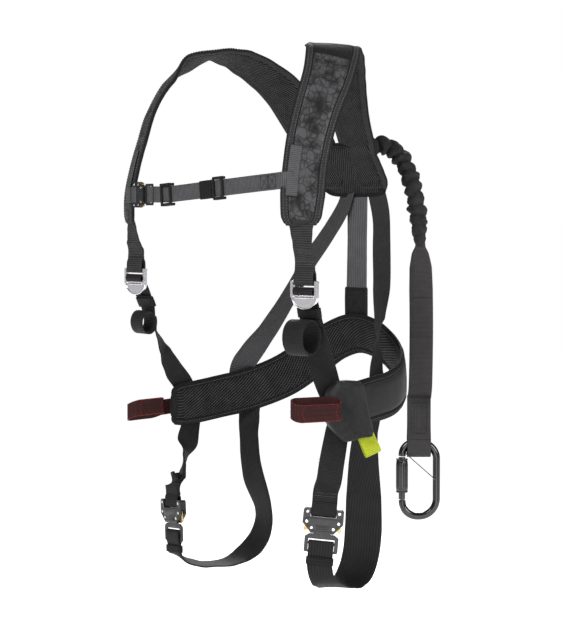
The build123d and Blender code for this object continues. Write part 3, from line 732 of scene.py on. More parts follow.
tether_line = cord_line(ROUTE)
gathered = bungee_mesh(tether_line, 0.247)
flat_stations = [
    (99, 234, -302, 45, 0, 15, 9), (99, 234, -312, 45, 0, 17, 8), (99, 234, -322, 45, 0, 27, 5),
    (99.5, 234.5, -345, 45, 0, 36, 2.6), (100, 235, -380, 45, 0, 38, 2.4), (100, 236, -450, 45, 0, 38, 2.4),
    (99, 235, -540, 45, 0, 38, 2.4), (98.5, 233.5, -554, 45, 0, 38, 2.4),
]
flat_strip = strip_of(flat_stations)
flat_main = sweep("tether_flat", flat_strip, ["tether"])
eye_path = [(136, 1.3), (110, 1.3), (90, 1.6), (80, 4.2), (68, 9.4), (58, 11.8)]
eye_path += arc((49.5, 0), 12.1, 80, 280, 20)
eye_path += [(58, -11.8), (68, -9.4), (80, -4.2), (90, -1.6), (110, -1.3), (136, -1.3)]
eye_strip = loop_strip(CLIP, eye_path, 38, 2.0)
eye = sweep("tether_eye", eye_strip, ["tether"])
tether = join("tether", [gathered, flat_main, eye])
nested = []
for half in (12.5, 8.0, 3.5):
    nested.append([(12, -half), (62, -half), (62, half), (12, half), (12, -half)])
nested += [[(3, -16.5), (3, 16.5)], [(72, -16.5), (72, 16.5)]]
tether_stitch = stitches("tether_stitching", flat_lines(eye_strip, nested, 0.1), "thread")
creases = flat_lines(flat_strip, [[(run, -18), (run, 18)] for run in (92, 154)], -0.25)
crease_bands = [tube("tether_crease", line, 0.0009, "tether", 6) for line in creases]
tether_bands = join("tether_crease_bands", crease_bands)
bend_from, bend_to = (0.099, 0.234, -0.545), (0.099, 0.234, -0.622)
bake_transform(tether)
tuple(bend_from)
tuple(bend_to)
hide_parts("tether_bungee", "tether_webbing")
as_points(tether_line)
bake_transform(tether_stitch)
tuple(bend_from)
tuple(bend_to)
settle(tether_bands, "harness", "tether_webbing")


# ---------------------------------------------------------------- shoulder pads
def pad_outline(width, thick, v):
    half, deep = width / 2, thick / 2
    lip = 0.0105
    outer = [
        (-half, 0.0), (-half + 0.0012, deep * 0.55), (-half + 0.004, deep * 0.78),
        (-half + lip - 0.001, deep * 0.80),
        (-half + lip, deep * 0.58), (-half + lip + 0.0022, deep * 0.92),
    ]
    crown = [(x * (half - lip - 0.006), deep * (1.22 - 0.2 * x * x))
        for x in (-0.85, -0.55, -0.25, 0, 0.25, 0.55, 0.85)]
    right = [(-x, y) for x, y in reversed(outer)]
    top = outer + crown + right
    bottom = [(x, -y * (0.92 if abs(x) < half - lip else 0.9)) for x, y in reversed(top[1:-1])]
    return top + bottom


def pad(stations, name, body, replaced, front_end, hem, outer_cloth, inner_cloth="mesh"):
    strip = strip_of(stations, 3.0)
    count = len(pad_outline(0.07, 0.009, 0))
    half_count = 18
    edge = {0, 1, 2, 3, half_count - 2, half_count - 3, half_count - 4, half_count - 1}
    edge |= {count - 1, count - 2, count - 3, count - 4, half_count, half_count + 1, half_count + 2}

    def region(k, v):
        if k in edge or v < hem * MM or v > strip.length - hem * MM:
            return 0
        if k < half_count:
            return 1 if v < front_end else 3
        return 2

    obj = sweep(name, strip, ["binding", outer_cloth, inner_cloth, "binding_dark"], pad_outline, region,
        0.004)
    settle(obj, body, "fabric_black", [replaced])
    return obj, strip


def edge_line(strip, sign, inset, out, start=4.0, end=4.0, step=4.0):
    line = []
    count = int((strip.length / MM - start - end) / step)
    for i in range(count + 1):
        v = (start + i * step) * MM
        width = strip.frame(v)[3]
        line.append(strip.at(v, sign * (width / 2 - inset * MM), out * MM))
    return line


def mirrored(stations):
    return [(-s[0], s[1], s[2], -s[3], s[4], s[5], s[6]) for s in stations]


def turned_in(stations, azimuth):
    # the front half of a pad, turned no further out than azimuth
    front = -50
    return [(*s[:3], max(s[3], azimuth) if s[1] < front else s[3], *s[4:]) for s in stations]


# the pads' back ends run on down the inner face of the yoke
BACK_END = [(42, 155, -172, 176, 32, 80, 9), (41, 165.5, -189, 178, 32, 80, 9),
    (41, 176, -206, 180, 32, 76, 9), (41, 184.5, -219, 180, 32, 62, 8)]
SHOULDER += BACK_END
SHOULDER_RIGHT = turned_in(mirrored(SHOULDER), -30)
pad_strips = {}
for side, stations in (("left", SHOULDER), ("right", SHOULDER_RIGHT)):
    body, strip = pad(stations, "pad_" + side, "harness", "shoulder_pad_" + side, 0.272, 9, "print")
    pad_strips[side] = strip
    piping = [tube("piping", edge_line(strip, s, 0.6, -4.3), 0.0016, "binding_dark") for s in (-1, 1)]
    piping += [tube("seam", edge_line(strip, s, 10.8, -1.6), 0.0009, "binding_dark", 6) for s in (-1, 1)]
    settle(join("pad_piping_" + side, piping), "harness", "fabric_black")
    rows = [edge_line(strip, s, inset, -0.95) for s in (-1, 1) for inset in (8.6, 3.4)]
    settle(stitches("pad_stitching_" + side, rows, "thread_grey"), "harness", "fabric_black")


def crescent(side, strip, name):
    # a curved flap of binding cloth over the pad, thicker in the middle, with a piped outer edge
    middle = min(strip.frames, key=lambda frame: abs(frame[0].z + 0.196))
    start = strip.runs[strip.frames.index(middle)]
    inner = [(-16, 45), (-12.5, 30), (-8.5, 14), (-8, 0), (-10, -14), (-14, -28), (-18.5, -42)]
    outer = [(-12.5, 45), (-3, 34), (3.5, 20), (7, 4), (6.5, -10), (2, -24), (-12, -45)]
    rows, columns = 28, 9
    verts, faces, uvs, rim = [], [], [], []
    for layer in (1, -1):
        for i in range(rows + 1):
            f = i / rows * (len(inner) - 1)
            k = min(int(f), len(inner) - 2)
            a = Vector(inner[k]).lerp(Vector(inner[k + 1]), f - k)
            b = Vector(outer[k]).lerp(Vector(outer[k + 1]), f - k)
            for c in range(columns + 1):
                x, y = a.lerp(b, c / columns)
                bulge = sin(pi * c / columns) ** 0.7 * sin(pi * i / rows) ** 0.5
                out = 2.6 + (2.8 * bulge if layer > 0 else -0.9)
                point, normal = strip.at(start + y * MM, side * x * MM, out * MM)
                verts.append(point)
                if layer > 0 and c == columns:
                    rim.append((point, normal))
    width = columns + 1
    size = (rows + 1) * width
    for i in range(rows):
        for c in range(columns):
            quad = [i * width + c, i * width + c + 1, (i + 1) * width + c + 1, (i + 1) * width + c]
            for shift, flip in ((0, side < 0), (size, side > 0)):
                ordered = quad if flip else quad[::-1]
                faces.append([q + shift for q in ordered])
                uvs += [((q % width) * 0.0016, (q // width) * 0.0032) for q in ordered]
    loop = [i * width for i in range(rows + 1)] + [rows * width + c for c in range(1, width)]
    loop += [i * width + columns for i in range(rows - 1, -1, -1)] + [c for c in range(columns - 1, 0, -1)]
    for a, b in zip(loop, loop[1:] + loop[:1]):
        faces.append([a, b, b + size, a + size])
        uvs += [(0, 0), (0.002, 0), (0.002, 0.002), (0, 0.002)]
    flap = piece(name, verts, faces, ["binding_dark"], None, uvs)
    edge = tube("rim", rim, 0.0013, "binding_dark", 6)
    return join(name, [flap, edge])


for side, sign in (("left", 1), ("right", -1)):
    strip = pad_strips[side]
    settle(crescent(sign, strip, "pad_crescent_" + side), "harness", "fabric_black", ["pad_flap_" + side])
    # grey webbing that runs under the flap, down the inner edge of the pad
    shifted = []
    for point, across, out, width, thick in strip.frames:
        if -0.236 < point.z < -0.160 and point.y < 0:
            shifted.append((point - across * sign * 0.0165 + out * 0.0062, across, out, 0.017, 0.0016))
    settle(sweep("pad_webbing_" + side, Strip(shifted), ["chest"]), "harness", "webbing_grey")


# ---------------------------------------------------------------- yoke, tether patch, spine and back straps
def smooth_outline(points, count=96):
    closed = points[-1:] + points + points[:2]
    total = len(points)
    line = []
    for i in range(count):
        f = i / count * total
        k = int(f)
        t = f - k
        p = [Vector(closed[k + j]) for j in range(4)]
        line.append(0.5 * (2 * p[1] + (p[2] - p[0]) * t + (2 * p[0] - 5 * p[1] + 4 * p[2] - p[3]) * t * t
                           + (3 * p[1] - p[0] - 3 * p[2] + p[3]) * t ** 3))
    return line


def pillow(name, place, outline, levels, materials, back_levels=None):
    """A flat padded shape. levels are (size from 1 to 0, height, region), from the rim to the middle."""
    verts, faces, regions, uvs, flat = [], [], [], [], []
    count = len(outline)
    centre = sum(outline, Vector((0, 0))) / count
    sheets = [[(size, height, region) for size, height, region in levels]]
    sheets.append([(size, -height, region) for size, height, region in (back_levels or levels)])
    starts = []
    for sheet in sheets:
        starts.append(len(verts))
        for size, height, region in sheet:
            for p in outline:
                q = centre + (p - centre) * size
                verts.append(place.at(q.x, q.y, height))
                flat.append((q.x * MM, q.y * MM))
    for start, sheet, flip in ((starts[0], sheets[0], False), (starts[1], sheets[1], True)):
        for i in range(len(sheet) - 1):
            for k in range(count):
                n = (k + 1) % count
                quad = [start + i * count + k, start + i * count + n]
                quad += [start + (i + 1) * count + n, start + (i + 1) * count + k]
                quad = quad[::-1] if flip else quad
                faces.append(quad)
                regions.append(sheet[i][2])
                uvs += [flat[q] for q in quad]
        ring = [start + (len(sheet) - 1) * count + k for k in range(count)]
        ring = ring[::-1] if flip else ring
        faces.append(ring)
        regions.append(sheet[-1][2])
        uvs += [flat[q] for q in ring]
    for k in range(count):
        n = (k + 1) % count
        quad = [starts[0] + n, starts[0] + k, starts[1] + k, starts[1] + n]
        faces.append(quad)
        regions.append(levels[0][2])
        uvs += [flat[q] for q in quad]
    return piece(name, verts, faces, materials, regions, uvs)


yoke = Place((0, 167, -188), 180)
yoke.z = Vector((0, 0.847, 0.531)).normalized()
yoke.x = Vector((-1, 0, 0))
yoke.y = yoke.z.cross(yoke.x)
yoke_points = [(-72, -12), (-68, -34), (-54, -47), (-20, -50), (20, -50), (54, -47), (68, -34), (72, -12)]
yoke_points += [(64, 14), (50, 36), (26, 46), (0, 48), (-26, 46), (-50, 36), (-64, 14)]
yoke_edge = smooth_outline(yoke_points)
padded_levels = [(1.0, 0.0, 0), (0.985, 2.9, 0), (0.95, 3.7, 0), (0.885, 3.6, 0), (0.88, 2.4, 1),
    (0.85, 3.9, 1)]
padded_levels += [(0.7, 4.7, 1), (0.45, 5.2, 1), (0.2, 5.4, 1), (0.03, 5.4, 1)]
panel = pillow("yoke_pad", yoke, yoke_edge, padded_levels, ["binding_dark", "mesh"])
settle(panel, "harness", "fabric_black", ["back_panel"])
rims = []
for out in (3.9, -3.9):
    rims.append(tube("rim", [(yoke.at(p.x * 0.965, p.y * 0.965, out), yoke.z) for p in yoke_edge], 0.0013,
        "binding_dark", 8, True))
rims.append(tube("rim", [(yoke.at(p.x * 1.0, p.y * 1.0, 0), yoke.z) for p in yoke_edge], 0.0017,
    "binding_dark", 8, True))
settle(join("yoke_piping", rims), "harness", "fabric_black")

patch_points = [(-28, 8), (-28, 28), (-24, 32), (12, 32), (16, 28), (16, 0), (12, -4), (-24, -4), (-28, 0)]
patch = pillow("tether_patch", yoke, smooth_outline(patch_points, 64),
               [(1.0, 5.4, 0), (0.985, 6.6, 0), (0.9, 6.9, 0), (0.5, 6.8, 0), (0.04, 6.8, 0)], ["black"],
               [(1.0, -4.6, 0), (0.5, -4.6, 0), (0.04, -4.6, 0)])
settle(patch, "harness", "webbing_black", ["tether_anchor"])
patch_lines = []
for shape in boxed_cross(-1, 29, 18):
    patch_lines.append([(yoke.at(-6 + u, v, 6.95), yoke.z) for v, u in shape])
settle(stitches("tether_patch_stitching", patch_lines, "thread_grey"), "harness", "webbing_black")

spine_strip = strip_of(SPINE)
settle(sweep("spine_elastic", spine_strip, ["elastic_grey"]), "harness", "webbing_grey", ["spine_strap"])
wrap_strip = strip_of([(0, 190, -378, 180, 0, 48, 4.6), (0, 190, -400, 180, 0, 48.5, 4.8),
    (0, 190, -427, 180, 0, 48, 4.6)])
settle(sweep("spine_wrap", wrap_strip, ["seat"], None, None, 0.002), "harness", "webbing_black")
wrap_lines = flat_lines(wrap_strip, boxed_cross(5, 44, 19), 0.1) + flat_lines(wrap_strip,
    boxed_cross(5, 44, 19), -4.9)
settle(stitches("spine_wrap_stitching", wrap_lines, "thread"), "harness", "webbing_black")

plain_straps = [
    ("back_strap_left", BACK_LEFT, "dark_grey", "webbing_grey", "back_webbing_left"),
    ("back_strap_right", BACK_RIGHT, "grey", "webbing_grey", "back_webbing_right"),
    ("side_strap_left", SIDE_LEFT, "black", "webbing_black", "side_webbing_left"),
    ("side_strap_right", SIDE_RIGHT, "black", "webbing_black", "side_webbing_right"),
]
for name, stations, cloth, finish, node in plain_straps:
    settle(sweep(name, strip_of(stations), [cloth]), "harness", finish, [node])


# ---------------------------------------------------------------- belt
def belt_outline(width, thick, v):
    half, deep = width / 2, thick / 2
    lip = 0.0075
    outer = [(-half, 0.0), (-half + 0.0015, deep * 0.55), (-half + 0.004, deep * 0.72),
        (-half + lip, deep * 0.70)]
    outer += [(-half + lip + 0.0008, deep * 0.55), (-half + lip + 0.004, deep * 0.9)]
    swell = 1.0 + 0.05 * sin(v * 95)
    crown = [(x * (half - lip - 0.006), deep * (1.12 - 0.16 * x * x) * swell)
        for x in (-0.8, -0.5, -0.2, 0.2, 0.5, 0.8)]
    top = outer + crown + [(-x, y) for x, y in reversed(outer)]
    return top + [(x, -y) for x, y in reversed(top[1:-1])]


belt_strip = strip_of(BELT, 3.0)
belt_count = len(belt_outline(0.06, 0.012, 0))


def belt_region(k, v):
    if v < 0.008 or v > belt_strip.length - 0.008:
        return 0
    if k < 4 or 13 <= k <= 20 or k >= belt_count - 4:
        return 0
    return 1 if k < 16 else 2


belt = sweep("belt_pad", belt_strip, ["binding_dark", "cloth", "mesh"], belt_outline, belt_region, 0.005)
settle(belt, "harness", "fabric_black", ["waist_belt"])
piping = [tube("piping", edge_line(belt_strip, s, 0.4, -6.0), 0.0017, "binding_dark") for s in (-1, 1)]
piping += [tube("seam", edge_line(belt_strip, s, 7.6, out), 0.0009, "binding_dark", 6) for s in (-1, 1)
    for out in (-1.8, -9.9)]
settle(join("belt_piping", piping), "harness", "fabric_black")
rows = [edge_line(belt_strip, s, 5.2, out) for s in (-1, 1) for out in (-1.55, -10.4)]
settle(stitches("belt_stitching", rows, "thread_grey"), "harness", "fabric_black")


# ---------------------------------------------------------------- straps that end in a loop round a bar
def bight_path(bar, tail, inner, thick, far_gap):
    # in (up, out): along the front face, round the bar and back up or down the other face
    reach = inner + thick / 2
    direction = 1 if tail > bar else -1
    bend = bar + direction * 9
    front = [(tail, far_gap), (tail - direction * 4, far_gap), (bend + direction * 3, reach * 0.9),
        (bar + direction * 4, reach)]
    turn = [(bar + reach * cos(radians(a)), reach * sin(radians(a))) for a in range(90, 271, 15)]
    if direction < 0:
        turn = [(bar - (x - bar), y) for x, y in turn]
    back = [(x, -y) for x, y in reversed(front)]
    return front + turn + back


def strap_with_loop(name, stations, place, bar, tail, inner, thick, width, cloth, finish, node,
    body="harness"):
    strap = sweep(name, strip_of(stations), [cloth])
    loop_line = loop_strip(place, bight_path(bar, tail, inner, thick, thick * 0.55), width, thick)
    loop = sweep(name + "_loop", loop_line, [cloth])
    return settle(join(name, [strap, loop]), body, finish, [node])


leg_sets = [
    ("left", LEG_LEFT, 40, THIGH_LEFT, SEAT_LEFT), ("right", LEG_RIGHT, -11, THIGH_RIGHT, SEAT_RIGHT),
]
for side, place, azimuth, upper, lower in leg_sets:
    above = [on_hardware(place, 44, azimuth, 38, 4.4), on_hardware(place, 28, azimuth, 38, 4.4)]
    node = "leg_webbing_upper_" + side
    strap_with_loop("thigh_strap_" + side, upper + above, place, 10, 30, 2.4, 2.0, 38, "black",
        "webbing_black", node)
    below = [on_hardware(place, -55.5, azimuth, 38, 4.4), on_hardware(place, -66, azimuth, 38, 4.4)]
    node = "leg_webbing_seat_" + side
    strap_with_loop("seat_strap_" + side, below + lower, place, -34.5, -57, 2.6, 2.0, 38, "seat",
        "webbing_black", node)
    doubled = strip_of([on_hardware(place, up, azimuth, 38, 4.4) for up in (96, 70, 30)] if side == "left"
                       else [upper[-2], upper[-1], on_hardware(place, 30, azimuth, 38, 4.4)])
    marks = bar_tacks(3, 12, 16, 2) + boxed_cross(15, doubled.length / MM - 16, 14)
    marks += bar_tacks(doubled.length / MM - 13, doubled.length / MM - 4, 16, 2)
    settle(stitches("thigh_stitching_" + side, flat_lines(doubled, marks, 0.25), "thread_grey", 2.4, 1.2,
        0.36), "harness", "webbing_black")

front_sets = [
    ("left", ADJUSTER_LEFT, 2, [(188, -131, -264, 40, 0, 38, 2), (188.5, -131, -284, 12, 0, 38, 2),
                                (188, -129, -300, 2, 0, 38, 2), (187.5, -127, -308, 2, 0, 38, 4.4)]),
    ("right", ADJUSTER_RIGHT, -4, [(-187.5, -131, -264, -30, 0, 38, 2), (-185, -130.5, -284, -20, 0, 38, 2),
                                   (-184, -129, -298, -14, 0, 38, 2), (-183.8, -127.5, -306, -8, 0, 38,
                                   4.4)]),
]
for side, place, azimuth, upper in front_sets:
    stations = upper + [on_hardware(place, 52, azimuth, 38, 4.4), on_hardware(place, 40, azimuth, 38, 4.4)]
    node = "front_webbing_" + side
    strap_with_loop("front_strap_" + side, stations, place, 20, 42, 2.9, 2.0, 38, "front", "webbing_grey",
        node)
    doubled = strip_of([upper[-1], on_hardware(place, 54, azimuth, 38, 4.4),
        on_hardware(place, 40, azimuth, 38, 4.4)])
    end = doubled.length / MM
    marks = bar_tacks(1, 9, 17, 2) + bar_tacks(end - 17, end - 3, 17, 3)
    settle(stitches("front_stitching_" + side, flat_lines(doubled, marks, 0.3), "thread_grey", 2.4, 1.2,
        0.36), "harness", "webbing_grey")


# ---------------------------------------------------------------- chest strap
def chest_line(x):
    f = (x + 60) / 178
    return (x, -151.5 + f, -227.5 + 14.5 * f)


near_stations = [on_hardware(CHEST, -37, 0, 25, 3.0), (-98, -150.7, -228.8, 0, 0, 25, 3.0),
    (-72, -151.2, -228.4, 0, 0, 25, 3.0)]
near_stations += [(*chest_line(x), 0, 0, 25, 1.5) for x in (-64, -20, 40, 90, 117)]
near_stations += [(123, -150.5, -212.6, 0, 0, 25, 2.8), (156, -151.6, -210.2, 5, 0, 25, 2.8),
    (164, -152.4, -209.6, 15, 0, 25, 1.5)]
near_stations += [(172, -150.5, -209, 38, 0, 25, 1.5), (182, -141.5, -208.4, 45, 0, 25, 1.5)]
strap_with_loop("chest_strap_near", near_stations, CHEST, -34.5 * CHEST_SCALE, -57 * CHEST_SCALE,
    2.6 * CHEST_SCALE, 1.4, 25, "chest", "webbing_grey", "chest_webbing_left")
far_stations = [(-191, -136.8, -229.5, -30, 0, 25, 1.5), (-179, -143.7, -229.5, -30, 0, 25, 1.5),
    (-169.5, -149.4, -229.4, -22, 0, 25, 2.4)]
far_stations += [on_hardware(CHEST, 28 * CHEST_SCALE, 0, 25, 3.0)]
strap_with_loop("chest_strap_far", far_stations, CHEST, 10 * CHEST_SCALE, 24 * CHEST_SCALE,
    2.4 * CHEST_SCALE, 1.4, 25, "chest", "webbing_grey", "chest_webbing_right")
sewn = strip_of([(122, -150.5, -212.7, 0, 0, 25, 2.8), (140, -151, -211.4, 2, 0, 25, 2.8),
    (160, -152, -209.9, 9, 0, 25, 2.8)])
marks = boxed_cross(3, 19, 9.5) + boxed_cross(20, 36, 9.5)
settle(stitches("chest_stitching", flat_lines(sewn, marks, 0.15), "thread", 2.4, 1.1, 0.42), "harness",
    "webbing_grey")


def moulded_bars(name, x, spread, body):
    """Two rounded bars in front of the chest hardware, spread apart along the strap."""
    centre = Vector(chest_line(x)) * MM
    across = facing(0).cross(CHEST_SLOPE)
    bars = []
    for along in (-spread / 2, spread / 2):
        line = []
        for k in range(-15, 16):
            bow = 0.5 * (1 - (k / 15) ** 2)
            line.append((centre + (CHEST_SLOPE * along + across * k + facing(0) * (2.7 + bow)) * MM,
                facing(0)))
        bars.append(tube("bar", line, 2.1 * MM, "plastic", 10))
    settle(join(name, bars), body, "plastic_black")


moulded_bars("chest_triglide_bars", -79, 20, "harness")
moulded_bars("chest_slider_bars", 36, 19, "chest_slider")


# ---------------------------------------------------------------- bands round the straps
def band(name, origin, across, up, out, inner_wide, inner_deep, wall, tall, cloth):
    """A woven band round a strap, with rolled edges; the sewn seam on its back is not drawn."""
    wide, deep = inner_wide / 2 + wall / 2, inner_deep / 2 + wall / 2
    corner = min(deep, 2.2)
    path = []
    for cx, cy, start in ((wide - corner, deep - corner, 90), (wide - corner, -deep + corner, 0),
        (-wide + corner, -deep + corner, -90), (-wide + corner, deep - corner, -180)):
        path += [(cx + corner * cos(radians(start - a)), cy + corner * sin(radians(start - a)))
            for a in (0, 30, 60, 90)]
    dense = []
    for i, p in enumerate(path):
        q = path[(i + 1) % len(path)]
        parts = max(1, round(hypot(q[0] - p[0], q[1] - p[1]) / 2.5))
        dense += [(p[0] + (q[0] - p[0]) * k / parts, p[1] + (q[1] - p[1]) * k / parts) for k in range(parts)]
    verts, faces, uvs = [], [], []
    profile = [(-0.5, 0.2), (-0.5, 0.8), (-0.44, 1.0), (-0.36, 0.82), (-0.1, 1.0), (0.1, 1.0), (0.36, 0.82),
        (0.44, 1.0), (0.5, 0.8), (0.5, 0.2), (0.44, 0), (-0.44, 0)]
    count, total, run = len(profile), len(dense), 0.0
    for i, (x, y) in enumerate(dense):
        before, after = dense[i - 1], dense[(i + 1) % total]
        tx, ty = after[0] - before[0], after[1] - before[1]
        size = hypot(tx, ty)
        nx, ny = -ty / size, tx / size
        if nx * x + ny * y < 0:
            nx, ny = -nx, -ny
        for level, depth in profile:
            off = (depth - 0.5) * wall
            verts.append(origin + (across * (x + nx * off) + out * (y + ny * off) + up * level * tall) * MM)
    for i in range(total):
        j = (i + 1) % total
        step = hypot(dense[j][0] - dense[i][0], dense[j][1] - dense[i][1]) * MM
        for k in range(count):
            n = (k + 1) % count
            faces.append((i * count + k, j * count + k, j * count + n, i * count + n))
            low, high = k * tall * MM / 9, (k + 1) * tall * MM / 9
            uvs += [(low, run), (low, run + step), (high, run + step), (high, run)]
        run += step
    return piece(name, verts, faces, [cloth], None, uvs)


def keeper(name, place_axes, sizes, cloth, body, node):
    obj = band(name, *place_axes, *sizes, cloth)
    return settle(obj, body, "elastic_black", [node])


def tilted_axes(origin, azimuth, elevation):
    out = facing(azimuth, elevation)
    across = UP.cross(out).normalized()
    return Vector(origin) * MM, across, out.cross(across), out


keeper("side_band_left", tilted_axes((186.7, -112.4, -402.5), 6, -13), (39, 6.2, 1.2, 14), "elastic",
    "harness", "side_keeper_left")
keeper("side_band_right", tilted_axes((-183.6, -102.8, -398), -8, -24), (39, 6.4, 1.2, 16), "elastic",
    "harness", "side_keeper_right")
for side, place, *_ in leg_sets:
    keeper("leg_band_" + side, (place.at(0, -61), place.x, place.y, place.z), (39, 5.8, 1.4, 11), "elastic",
        "harness", "leg_keeper_" + side)
chest_across = facing(0).cross(CHEST_SLOPE)
keeper("chest_band", (Vector(chest_line(8)) * MM, chest_across, CHEST_SLOPE, facing(0)), (26, 2.4, 1.2, 26),
    "elastic", "chest_keeper", "chest_keeper")


# ---------------------------------------------------------------- rolled tails and adjuster webbing
def coil_path(deep, tall, turns, gap, start=90):
    path = []
    steps = int(turns * 36)
    for i in range(steps + 1):
        angle = radians(start + 360 * turns * i / steps)
        inset = gap * i / 36
        path.append(((deep - 1.1 - inset) * cos(angle), (tall - 1.1 - inset) * sin(angle)))
    return path


def coil(name, centre, azimuth, deep, tall, turns, gap, thick, start, cloth):
    out = facing(azimuth)
    across = UP.cross(out)
    middle = Vector(centre) * MM
    line = [middle + (out * x + UP * y) * MM for x, y in coil_path(deep, tall, turns, gap, start)]
    frames = []
    for i, point in enumerate(line):
        along = (line[min(i + 1, len(line) - 1)] - line[max(i - 1, 0)]).normalized()
        frames.append((point, across, across.cross(along), 38 * MM, thick * MM))
    return sweep(name, Strip(frames), [cloth])


tails = [
    ("left", (186.5, -128.4, -438), 6, 24, 28, 1.45, 2.1,
     [(186.6, -114.8, -393, 5, 0, 38, 1.8), (187, -111.2, -410, 8, 0, 38, 1.8),
     (187.4, -107.8, -424, 9, 0, 38, 1.8)]),
    ("right", (-183, -108.6, -430), -12, 15, 20, 1.4, 2.1,
     [(-183.8, -109.6, -388, -6, 0, 38, 1.8), (-183.5, -100.4, -408, -12, 0, 38, 1.8),
     (-183.2, -97, -419, -14, 0, 38, 1.8)]),
]
for side, centre, azimuth, deep, tall, turns, gap, stations in tails:
    rolled = coil("roll", centre, azimuth, deep, tall, turns, gap, 1.9, 150, "black")
    lead = sweep("lead", strip_of(stations), ["black"])
    settle(join("strap_tail_" + side, [rolled, lead]), "harness", "webbing_black", ["rolled_tail_" + side])

for side, place in (("left", ADJUSTER_LEFT), ("right", ADJUSTER_RIGHT)):
    # webbing wound over the bar: an outer turn that tucks into an inner one
    path = [(7 + 5.4 * cos(radians(a)), 0.8 + 5.4 * sin(radians(a))) for a in range(-100, 261, 12)]
    path += [(7 + (5.3 - 1.5 * k / 8) * cos(radians(272 + 20 * k)),
        0.8 + (5.3 - 1.5 * k / 8) * sin(radians(272 + 20 * k))) for k in range(9)]
    wound = sweep("adjuster_webbing_" + side, loop_strip(place, path, 38, 1.7), ["black"])
    settle(wound, "adjuster_" + side, "webbing_black", ["adjuster_roll_" + side])
    # raised ridge and rolled rim on the D plate
    ridge = [(place.at(x, -2.6, 2.0), place.z) for x in range(-19, 20, 2)]
    rim = [(place.at(25 * cos(radians(a)), 18.6 * sin(radians(a)), 1.6), place.z) for a in range(184, 357, 6)]
    parts = [tube("ridge", ridge, 0.0011, "chrome"), tube("rim", rim, 0.0010, "chrome")]
    settle(join("adjuster_ridge_" + side, parts), "adjuster_" + side, "steel_chrome")


# ---------------------------------------------------------------- side loops
def side_loop(side, centre, angle, between):
    direction = Vector((cos(radians(angle)), sin(radians(angle)), 0))
    across = Vector((-direction.y, direction.x, 0))
    middle = Vector(centre) * MM
    reach = 11 - 1.2
    flat = [(between / 2 * f, reach) for f in (-1, -0.6, -0.2, 0.2, 0.6)]
    turn = [(between / 2 + reach * cos(radians(a)), reach * sin(radians(a))) for a in range(90, -90, -15)]
    path = flat + turn + [(-x, -y) for x, y in flat + turn]
    path.append(path[0])
    frames = []
    for i, (x, y) in enumerate(path):
        before, after = path[i - 1 if i else -2], path[i + 1 if i < len(path) - 1 else 1]
        along = (direction * (after[0] - before[0]) + across * (after[1] - before[1])).normalized()
        # the corners pinch a little, as folded webbing does
        pinch = 25.5 if abs(x) > between / 2 else 26.4
        # the loop leans, its outer wall lower than the inner one
        lean = (across if across.dot(middle) < 0 else -across).dot(across) * y * 0.45
        frames.append((middle + (direction * x + across * y + UP * lean) * MM, UP, UP.cross(along),
            pinch * MM, 2.2 * MM))
    strip = Strip(frames)
    loop = sweep("side_webbing_loop_" + side, strip, ["maroon"])
    body = "side_loop_" + side
    settle(loop, body, "webbing_maroon", ["side_loop_" + side])
    end = strip.length / MM
    rows = [[(2, u), (end - 2, u)] for u in (-12.2, 12.2)] + [[(2, u), (end - 2, u)] for u in (-3.6, 3.6)]
    corners = []
    for start in (2, between - 4, between + 30, 2 * between + 26):
        corners += [[(start, -12), (start + 5, 0), (start, 12)]]
    edges = flat_lines(strip, rows[:2], 0.05)
    settle(stitches("side_loop_edge_" + side, edges + flat_lines(strip, corners, 0.1), "thread_red", 2.0,
        1.6, 0.4), body, "webbing_maroon")
    settle(stitches("side_loop_rows_" + side, flat_lines(strip, rows[2:], 0.05), "thread"), body,
        "webbing_maroon")


side_loop("left", (217, -130, -542), 74, 60)
side_loop("right", (-206.3, -84, -572), 97.5, 56)


# ---------------------------------------------------------------- pouch
def creases(x, y, z):
    """Sharp-edged soft folds, in millimetres out of the cloth."""
    ridge = 1 - 2.2 * abs(noise.noise(Vector((x * 0.050 + y * 0.018, y * 0.020, z))))
    small = 1 - 2.2 * abs(noise.noise(Vector((x * 0.11, y * 0.055 - x * 0.03, z + 7))))
    return ridge * 3.2 + small * 1.4


def swell(obj, voxel, pressure, cap):
    """Fills a closed shape like soft cloth: a short cloth simulation, applied to the mesh."""
    bpy.context.view_layer.objects.active = obj
    remesh = obj.modifiers.new("even", "REMESH")
    remesh.mode = "VOXEL"
    remesh.voxel_size = voxel
    remesh.use_smooth_shade = True
    bpy.ops.object.modifier_apply(modifier="even")
    start = [v.co.copy() for v in obj.data.vertices]
    cloth = obj.modifiers.new("cloth", "CLOTH")
    cloth.settings.use_pressure = True
    cloth.settings.uniform_pressure_force = pressure
    cloth.settings.effector_weights.gravity = 0
    cloth.settings.tension_stiffness = 25
    cloth.settings.bending_stiffness = 0.4
    cloth.point_cache.frame_end = 20
    for step in range(1, 21):
        bpy.context.scene.frame_set(step)
    depsgraph = bpy.context.evaluated_depsgraph_get()
    moved = [v.co.copy() for v in obj.evaluated_get(depsgraph).data.vertices]
    obj.modifiers.remove(cloth)
    for vertex, before, after in zip(obj.data.vertices, start, moved):
        way = after - before
        vertex.co = before + way * min(1.0, cap / max(way.length, 1e-9))
    bpy.context.scene.frame_set(1)
    smooth = obj.modifiers.new("fine", "SUBSURF")
    smooth.levels = smooth.render_levels = 1
    bpy.ops.object.modifier_apply(modifier="fine")
    obj.data.polygons.foreach_set("use_smooth", [True] * len(obj.data.polygons))


